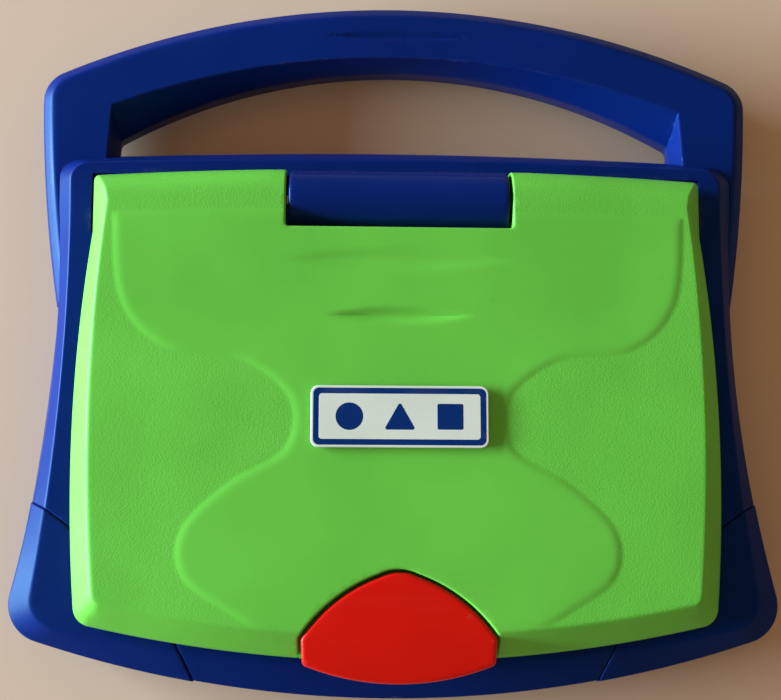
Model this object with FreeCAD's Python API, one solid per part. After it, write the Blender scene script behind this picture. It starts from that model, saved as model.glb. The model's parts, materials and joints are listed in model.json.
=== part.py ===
"""Toy laptop computer: a closed clamshell with a carrying arch behind it.

Millimetres. X runs across, +Y towards the carrying arch, +Z up. The origin is at the middle of the
bounding box, on the surface the feet stand on. Every function makes one kind of piece, and the last
lines write one STEP file for each piece.
"""

import FreeCAD, Part
import math
import os

Vec = FreeCAD.Vector

# Heights
FOOT_HEIGHT = 1.5
DOOR_THICK = 2.0
PARTING_Z = 15.0
HANDLE_BOTTOM_Z = 5.0
HANDLE_SPLIT_Z = 16.0
HANDLE_TOP_Z = 27.0
RIM_Z = 33.0
LID_BOTTOM_Z = 34.5
LID_BEVEL_Z = 40.0
LID_TOP_Z = 50.0
PLATEAU_Z = 51.2

# Walls, gaps and fits
WALL = 2.5
LID_WALL = 2.3
SEAM = 0.3
RUNNING = 0.05
CAP_PROUD = 1.0

# Carrying arch
ARCH_REAR_Y = 139.75
ARCH_RADIUS = 329.0
ARCH_CORNER = (144.85, 106.1)
ARCH_SIDE_MID = (139.97, 39.8)
ARCH_SIDE_END = (126.85, -30.0)
ARCH_CORNER_RADIUS = 14.0
ARCH_DRAFT = 1.4
ARCH_BEVEL = 4.0
ARCH_BEVEL_HEIGHT = 3.5
LEG_TIP_Y = 13.0
GRIP_TOP_MID_Y = 116.5
GRIP_TOP_CORNER = (115.2, 94.5)
GRIP_TOP_FOOT_X = 117.2
GRIP_LOW_MID_Y = 113.5
GRIP_LOW_CORNER = (112.6, 83.0)
GRIP_LOW_FOOT_X = 114.0
GRIP_SLOPE_END_Z = 17.0
GRIP_INSIDE_Y = 60.0

# Base: (corner x, corner y, middle y) of the bowed rear and front, (x, y) half way along a side
BASE_REAR = (135.5, 75.5, 78.7)
BASE_SIDE = (137.4, -17.0)
BASE_FRONT = (151.4, -113.3, -139.75)
BASE_CORNER_RADIUS = 15.8
SHOULDER_REAR = (136.4, 71.0, 75.2)
SHOULDER_SIDE = (134.6, -17.0)
SHOULDER_FRONT = (150.2, -113.3, -139.4)
SHOULDER_CORNER_RADIUS = 13.5
RIM_REAR = (129.8, 68.4, 70.9)
RIM_SIDE = (131.0, -20.0)
RIM_FRONT = (139.5, -110.5, -128.0)
RIM_CORNER_RADIUS = 9.0
UNDERSIDE_INSET = 6.0
UNDERSIDE_ROUND_Z = 6.0

# Front corner caps: the seam line on the right-hand side, from the side wall to the front wall
CAP_SEAM = [(160.0, -60.0), (142.0, -65.0), (133.6, -69.0), (125.8, -74.6),
            (83.4, -119.4), (77.8, -131.5), (74.0, -150.0)]

# Lid: as the base, with a knee where the straight hinge end meets the bowed side
LID_REAR = (119.3, 61.2, 65.2)
LID_KNEE = (119.1, 38.5)
LID_SIDE = (124.4, -42.0)
LID_FRONT = (120.9, -111.2, -125.2)
LID_CORNER_RADIUS = 7.5
TOP_REAR = (114.6, 61.4, 65.1)
TOP_KNEE = (112.6, 48.5)
TOP_SIDE = (116.9, -34.0)
TOP_FRONT = (113.0, -104.0, -116.0)
TOP_CORNER_RADIUS = 3.0

# Raised field on the lid, right-hand half, from the rear edge to the front edge
PLATEAU_HALF = [(109.0, 43.8), (105.0, 10.2), (88.7, -7.2), (59.7, -11.8), (40.5, -27.3),
                (42.2, -47.2), (63.5, -60.8), (80.0, -77.5), (79.0, -94.4), (60.0, -108.0)]
PLATEAU_REAR_Y = 46.2
LENSES = [(4.4, 59.4, 7.7), (27.0, 96.0, 11.4)]
LENS_DEPTH = 0.6
GRIP_LENS = (125.6, 56.0, 3.6)
BADGE_SIZE = (67.0, 23.4)
BADGE_MID_Y = -34.6
BADGE_THICK = 0.6
BADGE_RADIUS = 3.0

# Hinge
HINGE_Y = 52.0
HINGE_Z = 38.0
LID_BARREL = 12.5
BLOCK_BARREL = 12.1
BLOCK_HALF = 43.0
BLOCK_FOOT_Z = HINGE_Z - BLOCK_BARREL
NOTCH_HALF = 44.0
NOTCH_FRONT_Y = 39.2
TROUGH = 13.1
TROUGH_END_X = 121.0
PIN_RADIUS = 2.5
PIN_INNER_X = 30.0
PIN_OUTER_X = 54.0
KNUCKLE_OUTER_X = 56.0
KNUCKLE_RADIUS = 6.0

# Latch
LATCH_APEX_Y = -91.2
LATCH_APEX_HALF = 7.0
LATCH_APEX_SIDE_Y = -93.0
LATCH_FLANK = (24.0, -102.6)
LATCH_SHOULDER = (36.3, -116.5)
LATCH_CORNER = (35.4, -125.6)
LATCH_FRONT_Y = -133.0
LATCH_ROUND = 2.5
LATCH_GAP = 1.5
LATCH_TOP_Z = 50.2
LATCH_UNDER_Z = 46.0
LATCH_FLAT_END_Y = -112.0
LATCH_LIP_TOP_Z = 46.4
LATCH_LIP_UNDER_Z = 43.4
LATCH_PIVOT = (-105.0, 43.8)
LATCH_PIN_RADIUS = 1.25
LATCH_PIN_HALF = 19.0
LUG_RADIUS = 1.85
LATCH_LUG = (8.0, 11.0)
LID_LUG = (12.0, 15.0)
POCKET_FLOOR_Z = 41.5
HOOK_HALF = 8.0
HOOK_Y = (-119.0, -116.5)
HOOK_TIP_Z = 29.5
HOOK_BARB = 1.0
HOOK_SLOT_HALF = 9.5
HOOK_SLOT_Y = (-123.6, -114.2)
SPRING_RADIUS = 1.7
SPRING_WIRE = 0.5
SPRING_HALF = 6.0

# Keyboard
PANEL_Z = (28.0, 30.5)
WINDOW_HALF_X = 104.0
WINDOW_Y = (-88.0, 36.0)
PANEL_MARGIN = 4.0
KEY_PITCH = 19.5
KEY_DEPTH = 14.0
KEY_WIDTH = 15.4
KEY_Z = (25.0, 33.6)
KEY_TAPER = 1.4
KEY_RADIUS = 2.0
KEY_GAP = 0.35
ROW_Y = [20.0, 0.5, -19.0, -38.5]
BOARD_X = 100.0
BOARD_Y = (-48.0, 30.0)
BOARD_Z = (19.4, 21.0)
MAT_THICK = 1.0
DOME_TOP_Z = 23.0
DOME_RADIUS = 3.5

# Speaker
SPEAKER_AT = (72.0, -69.0)
SPEAKER_RADIUS = 15.0
SPEAKER_Z = (20.5, 27.4)
GRILLE_PITCH = 4.2
GRILLE_SLOT = 1.8

# Battery compartment
CELL_RADIUS = 7.25
CELL_LENGTH = 50.5
CELL_PITCH = 15.5
BAY_HALF_X = 28.4
BAY_HALF_Y = 25.0
BAY_TOP_Z = 18.8
DOOR_HALF = (33.0, 30.0)
CELL_LIFT = 0.6
CELL_Z = FOOT_HEIGHT + DOOR_THICK + CELL_LIFT + CELL_RADIUS
DOOR_SCREW_Y = -27.0
DOOR_SCREW_LENGTH = 6.0
CELL_NUB_RADIUS = 2.7
CONTACT_HALF = 5.5
CONTACT_THICK = 0.6
BAY_WALL = 2.0

# Fasteners: (x, y) on the right-hand side
CASE_SCREWS = [(116.0, 20.0), (122.0, -57.0), (60.0, -108.0), (127.0, -93.0)]
BOSS_RADIUS = 4.0
SCREW_RADIUS = 1.3
SCREW_HEAD_RADIUS = 2.8
SCREW_HEAD_HEIGHT = 1.8
SCREW_CROSS = (1.6, 0.3)
SCREW_SUNK = 0.9
SCREW_BITE = 12.0
CASE_SCREW_LENGTH = 22.0
HANDLE_SCREW_X = 124.0
HANDLE_SCREWS = [(9.5, 68.6), (21.0, 67.2)]   # height and y of each head, clear of the leaning wall
HANDLE_SCREW_END_Y = 90.0
LID_SCREWS = [(102.0, 26.0), (104.0, -84.0)]
LID_SCREW_TOP_Z = 46.0
LID_BOSS_RADIUS = 3.5

# Screen
SCREEN_MID_Y = -26.0
WINDOW_SIZE = (106.0, 58.0)
LCD_SIZE = (98.0, 50.0)
DISPLAY_BOARD_SIZE = (112.0, 62.0)
BEZEL_Z = (34.7, 36.9)
WINDOW_RADIUS = 3.0
LCD_THICK = 2.6
DISPLAY_BOARD_THICK = 1.6
BOARD_GAP = 0.4

# Feet and pads
FEET = [(108.0, 50.0), (114.0, -96.0)]
FOOT_RADIUS = 7.0
FOOT_SEAT = 1.5
PADS = [(98.0, -106.0)]
PAD_RADIUS = 3.0
PAD_BOTTOM_Z = 33.4

FAR = 200.0


# ---------------------------------------------------------------- helpers

def box(x, y, z):
    """A box from three (low, high) pairs."""
    return Part.makeBox(x[1] - x[0], y[1] - y[0], z[1] - z[0], Vec(x[0], y[0], z[0]))


def post(x, y, radius, z):
    """An upright cylinder over the span z."""
    return Part.makeCylinder(radius, z[1] - z[0], Vec(x, y, z[0]))


def rod(radius, x, y, z):
    """A cylinder along X over the span x."""
    return Part.makeCylinder(radius, x[1] - x[0], Vec(x[0], y, z), Vec(1, 0, 0))


def both_sides(points):
    """The points and their mirror images across X = 0."""
    return [(side * x, y) for x, y in points for side in (-1, 1)]


def fused(shapes):
    """One solid from overlapping shapes."""
    return shapes[0].multiFuse(shapes[1:]).removeSplitter()


def group(shapes):
    """Separate solids kept together in one piece."""
    return Part.makeCompound(shapes)


def arc(first, middle, last):
    """A circular edge through three plan points."""
    return Part.Arc(Vec(*first, 0), Vec(*middle, 0), Vec(*last, 0)).toShape()


def line(first, last):
    return Part.makeLine(Vec(*first, 0), Vec(*last, 0))


def mirrored(point):
    return (-point[0], point[1])


def joined(edges):
    return Part.Wire(Part.__sortEdges__(edges))


def rounded(wire, radius):
    """The outline with its outer corners turned into arcs."""
    sharp_inside = wire.makeOffset2D(-radius, 2)
    return from_the_rear(sharp_inside.makeOffset2D(radius, 0))


def from_the_rear(wire):
    """The same outline, with its rearmost edge first, so that lofted outlines match."""
    edges = Part.__sortEdges__(wire.Edges)
    start = max(range(len(edges)), key=lambda i: edges[i].CenterOfMass.y)
    return Part.Wire(edges[start:] + edges[:start])


def inset(wire, distance):
    return from_the_rear(wire.makeOffset2D(-distance, 2))


def prism(wire, z):
    """The outline's area, solid over the span z."""
    face = Part.Face(wire)
    face.translate(Vec(0, 0, z[0] - face.CenterOfMass.z))
    return face.extrude(Vec(0, 0, z[1] - z[0]))


def stacked(sections):
    """Straight walls through outlines at rising heights, each given as (outline, z)."""
    placed = []
    for wire, z in sections:
        copy = wire.copy()
        copy.translate(Vec(0, 0, z))
        placed.append(copy)
    return Part.makeLoft(placed, True, True)


def swept_across(points, x):
    """A (y, z) polygon, solid over the span x."""
    corners = [Vec(x[0], y, z) for y, z in points]
    face = Part.Face(Part.makePolygon(corners + corners[:1]))
    return face.extrude(Vec(x[1] - x[0], 0, 0))


def rounded_rectangle(middle, size, radius):
    """An outline with four equal round corners."""
    half_x, half_y = size[0] / 2, size[1] / 2
    corners = [Vec(middle[0] + sx * half_x, middle[1] + sy * half_y, 0)
               for sx, sy in ((-1, -1), (1, -1), (1, 1), (-1, 1))]
    return rounded(Part.makePolygon(corners + corners[:1]), radius)


def rounded_slab(middle, size, radius, z):
    """A rectangle with round corners, solid over the span z."""
    return prism(rounded_rectangle(middle, size, radius), z)


def lens(middle_y, length, width, z):
    """A shape between two arcs that meet in points on X."""
    half = length / 2
    ends = [(-half, middle_y), (half, middle_y)]
    front = arc(ends[0], (0, middle_y - width / 2), ends[1])
    rear = arc(ends[1], (0, middle_y + width / 2), ends[0])
    return prism(joined([front, rear]), z)


# ---------------------------------------------------------------- outlines

def base_outline(rear, side, front, radius):
    """Bowed rear and front, arched sides, round corners."""
    rear_corner, front_corner = rear[:2], front[:2]
    edges = [
        arc(mirrored(rear_corner), (0, rear[2]), rear_corner),
        arc(rear_corner, side, front_corner),
        arc(front_corner, (0, front[2]), mirrored(front_corner)),
        arc(mirrored(front_corner), mirrored(side), mirrored(rear_corner)),
    ]
    return rounded(joined(edges), radius)


def lid_outline(rear, knee, side, front, radius):
    """As the base, with straight sides beside the hinge."""
    rear_corner, front_corner = rear[:2], front[:2]
    edges = [
        arc(mirrored(rear_corner), (0, rear[2]), rear_corner),
        line(rear_corner, knee),
        arc(knee, side, front_corner),
        arc(front_corner, (0, front[2]), mirrored(front_corner)),
        arc(mirrored(front_corner), mirrored(side), mirrored(knee)),
        line(mirrored(knee), mirrored(rear_corner)),
    ]
    return rounded(joined(edges), radius)


def grip_outline(mid_y, corner, foot_x):
    """The finger opening: arched at the rear, straight where it runs into the base."""
    foot = (foot_x, GRIP_INSIDE_Y)
    edges = [
        arc(mirrored(corner), (0, mid_y), corner),
        line(corner, foot),
        line(foot, mirrored(foot)),
        line(mirrored(foot), mirrored(corner)),
    ]
    return joined(edges)


def arch_outline():
    """The carrying arch and its legs, taken as one filled shape."""
    edges = [
        arc(mirrored(ARCH_CORNER), (0, ARCH_REAR_Y), ARCH_CORNER),
        arc(ARCH_CORNER, ARCH_SIDE_MID, ARCH_SIDE_END),
        line(ARCH_SIDE_END, mirrored(ARCH_SIDE_END)),
        arc(mirrored(ARCH_SIDE_END), mirrored(ARCH_SIDE_MID), mirrored(ARCH_CORNER)),
    ]
    return rounded(joined(edges), ARCH_CORNER_RADIUS)


def latch_outline():
    """A rounded point towards the lid's middle, shoulders, and a bowed front edge."""
    apex_side = (LATCH_APEX_HALF, LATCH_APEX_SIDE_Y)
    edges = [
        arc(mirrored(apex_side), (0, LATCH_APEX_Y), apex_side),
        arc(apex_side, LATCH_FLANK, LATCH_SHOULDER),
        line(LATCH_SHOULDER, LATCH_CORNER),
        arc(LATCH_CORNER, (0, LATCH_FRONT_Y), mirrored(LATCH_CORNER)),
        line(mirrored(LATCH_CORNER), mirrored(LATCH_SHOULDER)),
        arc(mirrored(LATCH_SHOULDER), mirrored(LATCH_FLANK), mirrored(apex_side)),
    ]
    return rounded(joined(edges), LATCH_ROUND)


WIDEST = base_outline(BASE_REAR, BASE_SIDE, BASE_FRONT, BASE_CORNER_RADIUS)
SHOULDER = base_outline(SHOULDER_REAR, SHOULDER_SIDE, SHOULDER_FRONT, SHOULDER_CORNER_RADIUS)
RIM = base_outline(RIM_REAR, RIM_SIDE, RIM_FRONT, RIM_CORNER_RADIUS)
LID_EDGE = lid_outline(LID_REAR, LID_KNEE, LID_SIDE, LID_FRONT, LID_CORNER_RADIUS)
LID_TOP = lid_outline(TOP_REAR, TOP_KNEE, TOP_SIDE, TOP_FRONT, TOP_CORNER_RADIUS)
ARCH = arch_outline()
LATCH = latch_outline()


# ---------------------------------------------------------------- base

def upper_form(grow):
    """The filled form above the parting line, grown outwards all round."""
    return stacked([
        (inset(WIDEST, -grow), PARTING_Z),
        (inset(SHOULDER, -grow), HANDLE_TOP_Z),
        (inset(RIM, -grow), RIM_Z),
    ])


def upper_hollow():
    """The space inside the upper mouldings."""
    return stacked([
        (inset(WIDEST, WALL), PARTING_Z),
        (inset(SHOULDER, WALL), HANDLE_TOP_Z - 1),
        (inset(RIM, WALL + 1), RIM_Z - WALL),
    ])


def cap_wedge(side, gap):
    """The corner outside the seam line, pulled back by the gap."""
    corners = [Vec(side * x, y, 0) for x, y in CAP_SEAM]
    outside = [Vec(side * FAR, CAP_SEAM[-1][1], 0), Vec(side * FAR, CAP_SEAM[0][1], 0)]
    wire = Part.makePolygon(corners + outside + corners[:1])
    return prism(inset(wire, gap), (0, RIM_Z + WALL))


def screw_boss(x, y, z):
    """A tube that a screw bites into."""
    return post(x, y, BOSS_RADIUS, z)


def pilot(x, y, z):
    return post(x, y, SCREW_RADIUS + RUNNING, z)


def barrel_sides(radius, inner_x, outer_x):
    """Two cylinders on the hinge line, one each side of the middle."""
    return [rod(radius, (inner_x, outer_x), HINGE_Y, HINGE_Z),
            rod(radius, (-outer_x, -inner_x), HINGE_Y, HINGE_Z)]


def upper_case():
    """Rim, bevels and side walls, with the hinge trough and the keyboard window."""
    form = upper_form(0)
    shell = form.cut(upper_hollow())
    trough_wall = rod(TROUGH + WALL, (-TROUGH_END_X - WALL, TROUGH_END_X + WALL), HINGE_Y, HINGE_Z)
    bosses = [screw_boss(x, y, (PARTING_Z, RIM_Z - WALL)) for x, y in both_sides(CASE_SCREWS[:3])]
    body = fused([shell, trough_wall.common(form)] + bosses)
    window = box((-WINDOW_HALF_X, WINDOW_HALF_X), WINDOW_Y, (PANEL_Z[1] - 1, RIM_Z + 1))
    block_seat = box((-BLOCK_HALF - SEAM / 2, BLOCK_HALF + SEAM / 2),
                     (HINGE_Y - BLOCK_BARREL - SEAM / 2, HINGE_Y + BLOCK_BARREL + SEAM / 2),
                     (BLOCK_FOOT_Z, RIM_Z + 1))
    hook_slot = box((-HOOK_SLOT_HALF, HOOK_SLOT_HALF), HOOK_SLOT_Y, (RIM_Z - 2 * WALL, RIM_Z + 1))
    cuts = barrel_sides(TROUGH, BLOCK_HALF + SEAM, TROUGH_END_X) + [window, block_seat, hook_slot]
    cuts += [cap_wedge(side, 0) for side in (-1, 1)]
    cuts += [pilot(x, y, (PARTING_Z - 1, PARTING_Z + SCREW_BITE)) for x, y in both_sides(CASE_SCREWS[:3])]
    cuts += handle_screw_holes()
    return body.cut(Part.makeCompound(cuts))


def corner_cap(side):
    """A slightly proud moulding that wraps one front corner of the base."""
    shell = upper_form(CAP_PROUD).cut(upper_hollow())
    shell = shell.cut(box((-FAR, FAR), (-FAR, FAR), (RIM_Z, RIM_Z + WALL)))
    x, y = CASE_SCREWS[3]
    boss = screw_boss(side * x, y, (PARTING_Z, RIM_Z - WALL / 2))
    cap = fused([shell.common(cap_wedge(side, SEAM)), boss])
    return cap.cut(pilot(side * x, y, (PARTING_Z - 1, PARTING_Z + SCREW_BITE)))


def screw_way(x, y):
    """The counterbored hole that a case screw passes through."""
    head = post(x, y, SCREW_HEAD_RADIUS + SEAM, (0, FOOT_HEIGHT + SCREW_HEAD_HEIGHT + 1))
    return head.fuse(pilot(x, y, (0, PARTING_Z + 1)))


def bay_walls():
    """The battery compartment's four walls."""
    outer_x, outer_y = BAY_HALF_X + BAY_WALL, BAY_HALF_Y + BAY_WALL
    outer = box((-outer_x, outer_x), (-outer_y, outer_y), (FOOT_HEIGHT + 1, BAY_TOP_Z))
    inner = box((-BAY_HALF_X, BAY_HALF_X), (-BAY_HALF_Y, BAY_HALF_Y), (0, BAY_TOP_Z + 1))
    return outer.cut(inner)


def door_seat():
    """The stepped hole in the underside that the battery door closes."""
    seat = box((-DOOR_HALF[0] - SEAM, DOOR_HALF[0] + SEAM), (-DOOR_HALF[1] - SEAM, DOOR_HALF[1] + SEAM),
               (0, FOOT_HEIGHT + DOOR_THICK))
    bay = box((-BAY_HALF_X, BAY_HALF_X), (-BAY_HALF_Y + 1, BAY_HALF_Y), (0, FOOT_HEIGHT + WALL + 1))
    return seat.fuse(bay)


def lower_case():
    """The tub: underside, side walls, battery bay, screw tubes and posts for the main board."""
    low_ring = inset(WIDEST, UNDERSIDE_INSET)
    form = stacked([(low_ring, FOOT_HEIGHT), (inset(WIDEST, 1.5), UNDERSIDE_ROUND_Z), (WIDEST, PARTING_Z)])
    hollow = stacked([
        (inset(WIDEST, UNDERSIDE_INSET + 1), FOOT_HEIGHT + WALL),
        (inset(WIDEST, WALL + 1), UNDERSIDE_ROUND_Z + 1),
        (inset(WIDEST, WALL), PARTING_Z),
    ])
    tubes = [screw_boss(x, y, (FOOT_HEIGHT + 1, PARTING_Z)) for x, y in both_sides(CASE_SCREWS)]
    board_posts = [post(x, y, 3, (FOOT_HEIGHT + 1, BOARD_Z[0]))
                   for x, y in both_sides([(BOARD_X - 6, BOARD_Y[1] - 6), (BOARD_X - 6, BOARD_Y[0] + 6)])]
    door_post = post(0, DOOR_SCREW_Y, 2 * SCREW_RADIUS, (FOOT_HEIGHT + DOOR_THICK, FOOT_HEIGHT + 9))
    body = fused([form.cut(hollow), bay_walls(), door_post] + tubes + board_posts)
    cuts = [screw_way(x, y) for x, y in both_sides(CASE_SCREWS)] + handle_screw_holes()
    cuts += [post(x, y, FOOT_RADIUS + RUNNING, (0, FOOT_HEIGHT + FOOT_SEAT)) for x, y in both_sides(FEET)]
    cuts += [door_seat(), pilot(0, DOOR_SCREW_Y, (0, FOOT_HEIGHT + 9.5))]
    return body.cut(Part.makeCompound(cuts))


def battery_door():
    """A screwed cover in the underside."""
    door = rounded_slab((0, 0), (2 * DOOR_HALF[0], 2 * DOOR_HALF[1]), 2.5,
                        (FOOT_HEIGHT, FOOT_HEIGHT + DOOR_THICK))
    head = post(0, DOOR_SCREW_Y, SCREW_HEAD_RADIUS + SEAM, (0, FOOT_HEIGHT + 1))
    return door.cut(head.fuse(pilot(0, DOOR_SCREW_Y, (0, FOOT_HEIGHT + WALL))))


def battery_cells():
    """Three cylindrical cells with their end caps, side by side."""
    half = CELL_LENGTH / 2
    cells = []
    for index in (-1, 0, 1):
        y = index * CELL_PITCH
        body = rod(CELL_RADIUS, (-half + 0.5, half - 1.0), y, CELL_Z)
        nub = rod(CELL_NUB_RADIUS, (half - 1.5, half), y, CELL_Z)
        cell = fused([body, nub])
        if index == 0:
            cell.rotate(Vec(0, y, CELL_Z), Vec(0, 0, 1), 180)
        cells.append(cell)
    return group(cells)


def battery_contacts():
    """Sprung metal plates at both ends of the bay."""
    outer_x = BAY_HALF_X - RUNNING
    z = (CELL_Z - CONTACT_HALF, CELL_Z + CONTACT_HALF)
    plates = []
    for side in (-1, 1):
        x = sorted((side * outer_x, side * (outer_x - CONTACT_THICK)))
        for index in (-1, 0, 1):
            y = index * CELL_PITCH
            plates.append(box(x, (y - CONTACT_HALF, y + CONTACT_HALF), z))
    return group(plates)


def rubber_feet():
    """Four discs pressed into seats in the underside."""
    feet = []
    for x, y in both_sides(FEET):
        disc = post(x, y, FOOT_RADIUS, (0, FOOT_HEIGHT + FOOT_SEAT))
        bottom = [e for e in disc.Edges if e.CenterOfMass.z < 0.01]
        feet.append(disc.makeChamfer(0.5, bottom))
    return group(feet)


# ---------------------------------------------------------------- carrying arch

def grip_hole():
    """The finger opening: upright below, flared above."""
    low = grip_outline(GRIP_LOW_MID_Y, GRIP_LOW_CORNER, GRIP_LOW_FOOT_X)
    high = grip_outline(GRIP_TOP_MID_Y, GRIP_TOP_CORNER, GRIP_TOP_FOOT_X)
    upright = prism(low, (0, GRIP_SLOPE_END_Z))
    flared = stacked([(low, GRIP_SLOPE_END_Z), (high, HANDLE_TOP_Z)])
    above = prism(high, (HANDLE_TOP_Z, RIM_Z))
    return [upright, flared, above]


def arch_pocket():
    """The hollow inside the arch, clear of its walls."""
    half, wall = GRIP_TOP_CORNER[0] - 3, WALL + 0.7
    def on_arch(x, mid_y, radius):
        return (x, mid_y - radius + math.sqrt(radius ** 2 - x ** 2))
    inner_radius = (GRIP_TOP_CORNER[0] ** 2 + (GRIP_TOP_MID_Y - GRIP_TOP_CORNER[1]) ** 2)
    inner_radius /= 2 * (GRIP_TOP_MID_Y - GRIP_TOP_CORNER[1])
    outer_end = on_arch(half, ARCH_REAR_Y - wall - 0.8, ARCH_RADIUS)
    inner_end = on_arch(half, GRIP_TOP_MID_Y + wall, inner_radius)
    edges = [
        arc(mirrored(outer_end), (0, ARCH_REAR_Y - wall - 0.8), outer_end),
        line(outer_end, inner_end),
        arc(inner_end, (0, GRIP_TOP_MID_Y + wall), mirrored(inner_end)),
        line(mirrored(inner_end), mirrored(outer_end)),
    ]
    return prism(joined(edges), (HANDLE_BOTTOM_Z + WALL, HANDLE_TOP_Z - WALL))


def base_room():
    """The space the base takes out of the arch's filled outline."""
    below = prism(inset(WIDEST, -SEAM / 2), (0, PARTING_Z))
    beside = stacked([
        (inset(WIDEST, -SEAM / 2), PARTING_Z),
        (inset(SHOULDER, -SEAM / 2), HANDLE_TOP_Z),
    ])
    above = prism(inset(SHOULDER, -SEAM / 2), (HANDLE_TOP_Z, RIM_Z + 1))
    return fused([below, beside, above])


def handle_screw_holes():
    """Pilot holes for the four screws that hold the arch to the base."""
    holes = []
    for side in (-1, 1):
        for z, head_y in HANDLE_SCREWS:
            start = Vec(side * HANDLE_SCREW_X, head_y, z)
            length = HANDLE_SCREW_END_Y + 1 - head_y
            holes.append(Part.makeCylinder(SCREW_RADIUS + RUNNING, length, start, Vec(0, 1, 0)))
    return holes


def handle_half(sections):
    """One half of the arch from its outer outlines."""
    body = stacked(sections).cut(base_room())
    body = body.cut(box((-FAR, FAR), (-FAR, LEG_TIP_Y), (0, RIM_Z)))
    cuts = grip_hole() + [arch_pocket()] + handle_screw_holes()
    cuts.append(lens(*GRIP_LENS, (HANDLE_TOP_Z - LENS_DEPTH, HANDLE_TOP_Z + 1)))
    for cut in cuts:
        body = body.cut(cut)
    solids = sorted(body.Solids, key=lambda s: s.Volume)
    return solids[-1]


def handle_upper_half():
    return handle_half([
        (ARCH, HANDLE_SPLIT_Z),
        (inset(ARCH, ARCH_DRAFT), HANDLE_TOP_Z - ARCH_BEVEL_HEIGHT),
        (inset(ARCH, ARCH_DRAFT + ARCH_BEVEL), HANDLE_TOP_Z),
    ])


def handle_lower_half():
    return handle_half([
        (inset(ARCH, ARCH_DRAFT + ARCH_BEVEL), HANDLE_BOTTOM_Z),
        (inset(ARCH, ARCH_DRAFT), HANDLE_BOTTOM_Z + ARCH_BEVEL_HEIGHT),
        (ARCH, HANDLE_SPLIT_Z),
    ])


# ---------------------------------------------------------------- lid

def lid_form():
    """The lid's filled outer form: bevelled sides and front, and a barrel along the hinge."""
    form = stacked([(LID_EDGE, LID_BOTTOM_Z), (LID_EDGE, LID_BEVEL_Z), (LID_TOP, LID_TOP_Z)])
    ahead = box((-FAR, FAR), (-FAR, HINGE_Y), (0, FAR))
    barrel = rod(LID_BARREL, (-FAR, FAR), HINGE_Y, HINGE_Z)
    return form.common(ahead.fuse(barrel))


def lid_hollow():
    """The space inside the lid, kept clear of the hinge notch and the latch pocket."""
    edge = inset(LID_EDGE, LID_WALL)
    hollow = stacked([
        (edge, LID_BOTTOM_Z),
        (edge, LID_BEVEL_Z),
        (inset(LID_TOP, LID_WALL), LID_TOP_Z - LID_WALL),
    ])
    ahead = box((-FAR, FAR), (-FAR, HINGE_Y), (0, FAR))
    barrel = rod(LID_BARREL - LID_WALL, (-FAR, FAR), HINGE_Y, HINGE_Z)
    notch = box((-NOTCH_HALF - LID_WALL, NOTCH_HALF + LID_WALL), (NOTCH_FRONT_Y - LID_WALL, FAR), (0, FAR))
    pocket = prism(inset(LATCH, -LATCH_GAP - LID_WALL), (POCKET_FLOOR_Z - 2, FAR))
    return hollow.common(ahead.fuse(barrel)).cut(notch).cut(pocket)


def plateau():
    """The raised butterfly-shaped field on top of the lid."""
    right = [Vec(x, y, 0) for x, y in PLATEAU_HALF]
    left = [Vec(-x, y, 0) for x, y in reversed(PLATEAU_HALF)]
    curves = []
    for points in (right, left):
        curve = Part.BSplineCurve()
        curve.interpolate(points)
        curves.append(curve.toShape())
    rear = arc(PLATEAU_HALF[0], (0, PLATEAU_REAR_Y), mirrored(PLATEAU_HALF[0]))
    ends = [Part.makeLine(right[-1], left[0]), rear]
    outline = joined(curves + ends)
    return prism(outline, (LID_TOP_Z - 1, PLATEAU_Z))


def latch_pocket():
    """The opening for the latch, open to the front, with a slot for its hook."""
    room = prism(inset(LATCH, -LATCH_GAP), (POCKET_FLOOR_Z, FAR))
    slot = box((-HOOK_SLOT_HALF, HOOK_SLOT_HALF), (HOOK_SLOT_Y[0] + 1, HOOK_SLOT_Y[1]), (0, POCKET_FLOOR_Z + 1))
    return room.fuse(slot)


def lid_lugs():
    """Two uprights on the pocket floor that carry the latch pin."""
    y, z = LATCH_PIVOT
    lugs = []
    for side in (-1, 1):
        x = sorted((side * LID_LUG[0], side * LID_LUG[1]))
        upright = box(x, (y - LUG_RADIUS, y + LUG_RADIUS), (POCKET_FLOOR_Z - 1, z))
        lugs.append(upright.fuse(rod(LUG_RADIUS, x, y, z)))
    return lugs


def lid_shell():
    """The lid's outer moulding."""
    notch = box((-NOTCH_HALF, NOTCH_HALF), (NOTCH_FRONT_Y, FAR), (0, FAR))
    shell = fused([lid_form(), plateau()]).cut(lid_hollow())
    shell = shell.cut(latch_pocket()).cut(notch)
    bosses = [post(x, y, LID_BOSS_RADIUS, (BEZEL_Z[1], LID_TOP_Z - 1)) for x, y in both_sides(LID_SCREWS)]
    knuckles = barrel_sides(KNUCKLE_RADIUS, NOTCH_HALF, KNUCKLE_OUTER_X)
    above = box((-FAR, FAR), (-FAR, FAR), (LID_BOTTOM_Z, FAR))
    body = fused([shell] + [k.common(above) for k in knuckles] + bosses + lid_lugs())
    cuts = barrel_sides(PIN_RADIUS + RUNNING, NOTCH_HALF - 1, PIN_OUTER_X + 1)
    cuts.append(rod(LATCH_PIN_RADIUS + 0.02, (-LATCH_PIN_HALF, LATCH_PIN_HALF), *LATCH_PIVOT))
    cuts += [pilot(x, y, (BEZEL_Z[0], LID_SCREW_TOP_Z + 0.5)) for x, y in both_sides(LID_SCREWS)]
    cuts += [lens(*sizes, (PLATEAU_Z - LENS_DEPTH, PLATEAU_Z + 1)) for sizes in LENSES]
    return body.cut(Part.makeCompound(cuts))


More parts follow.
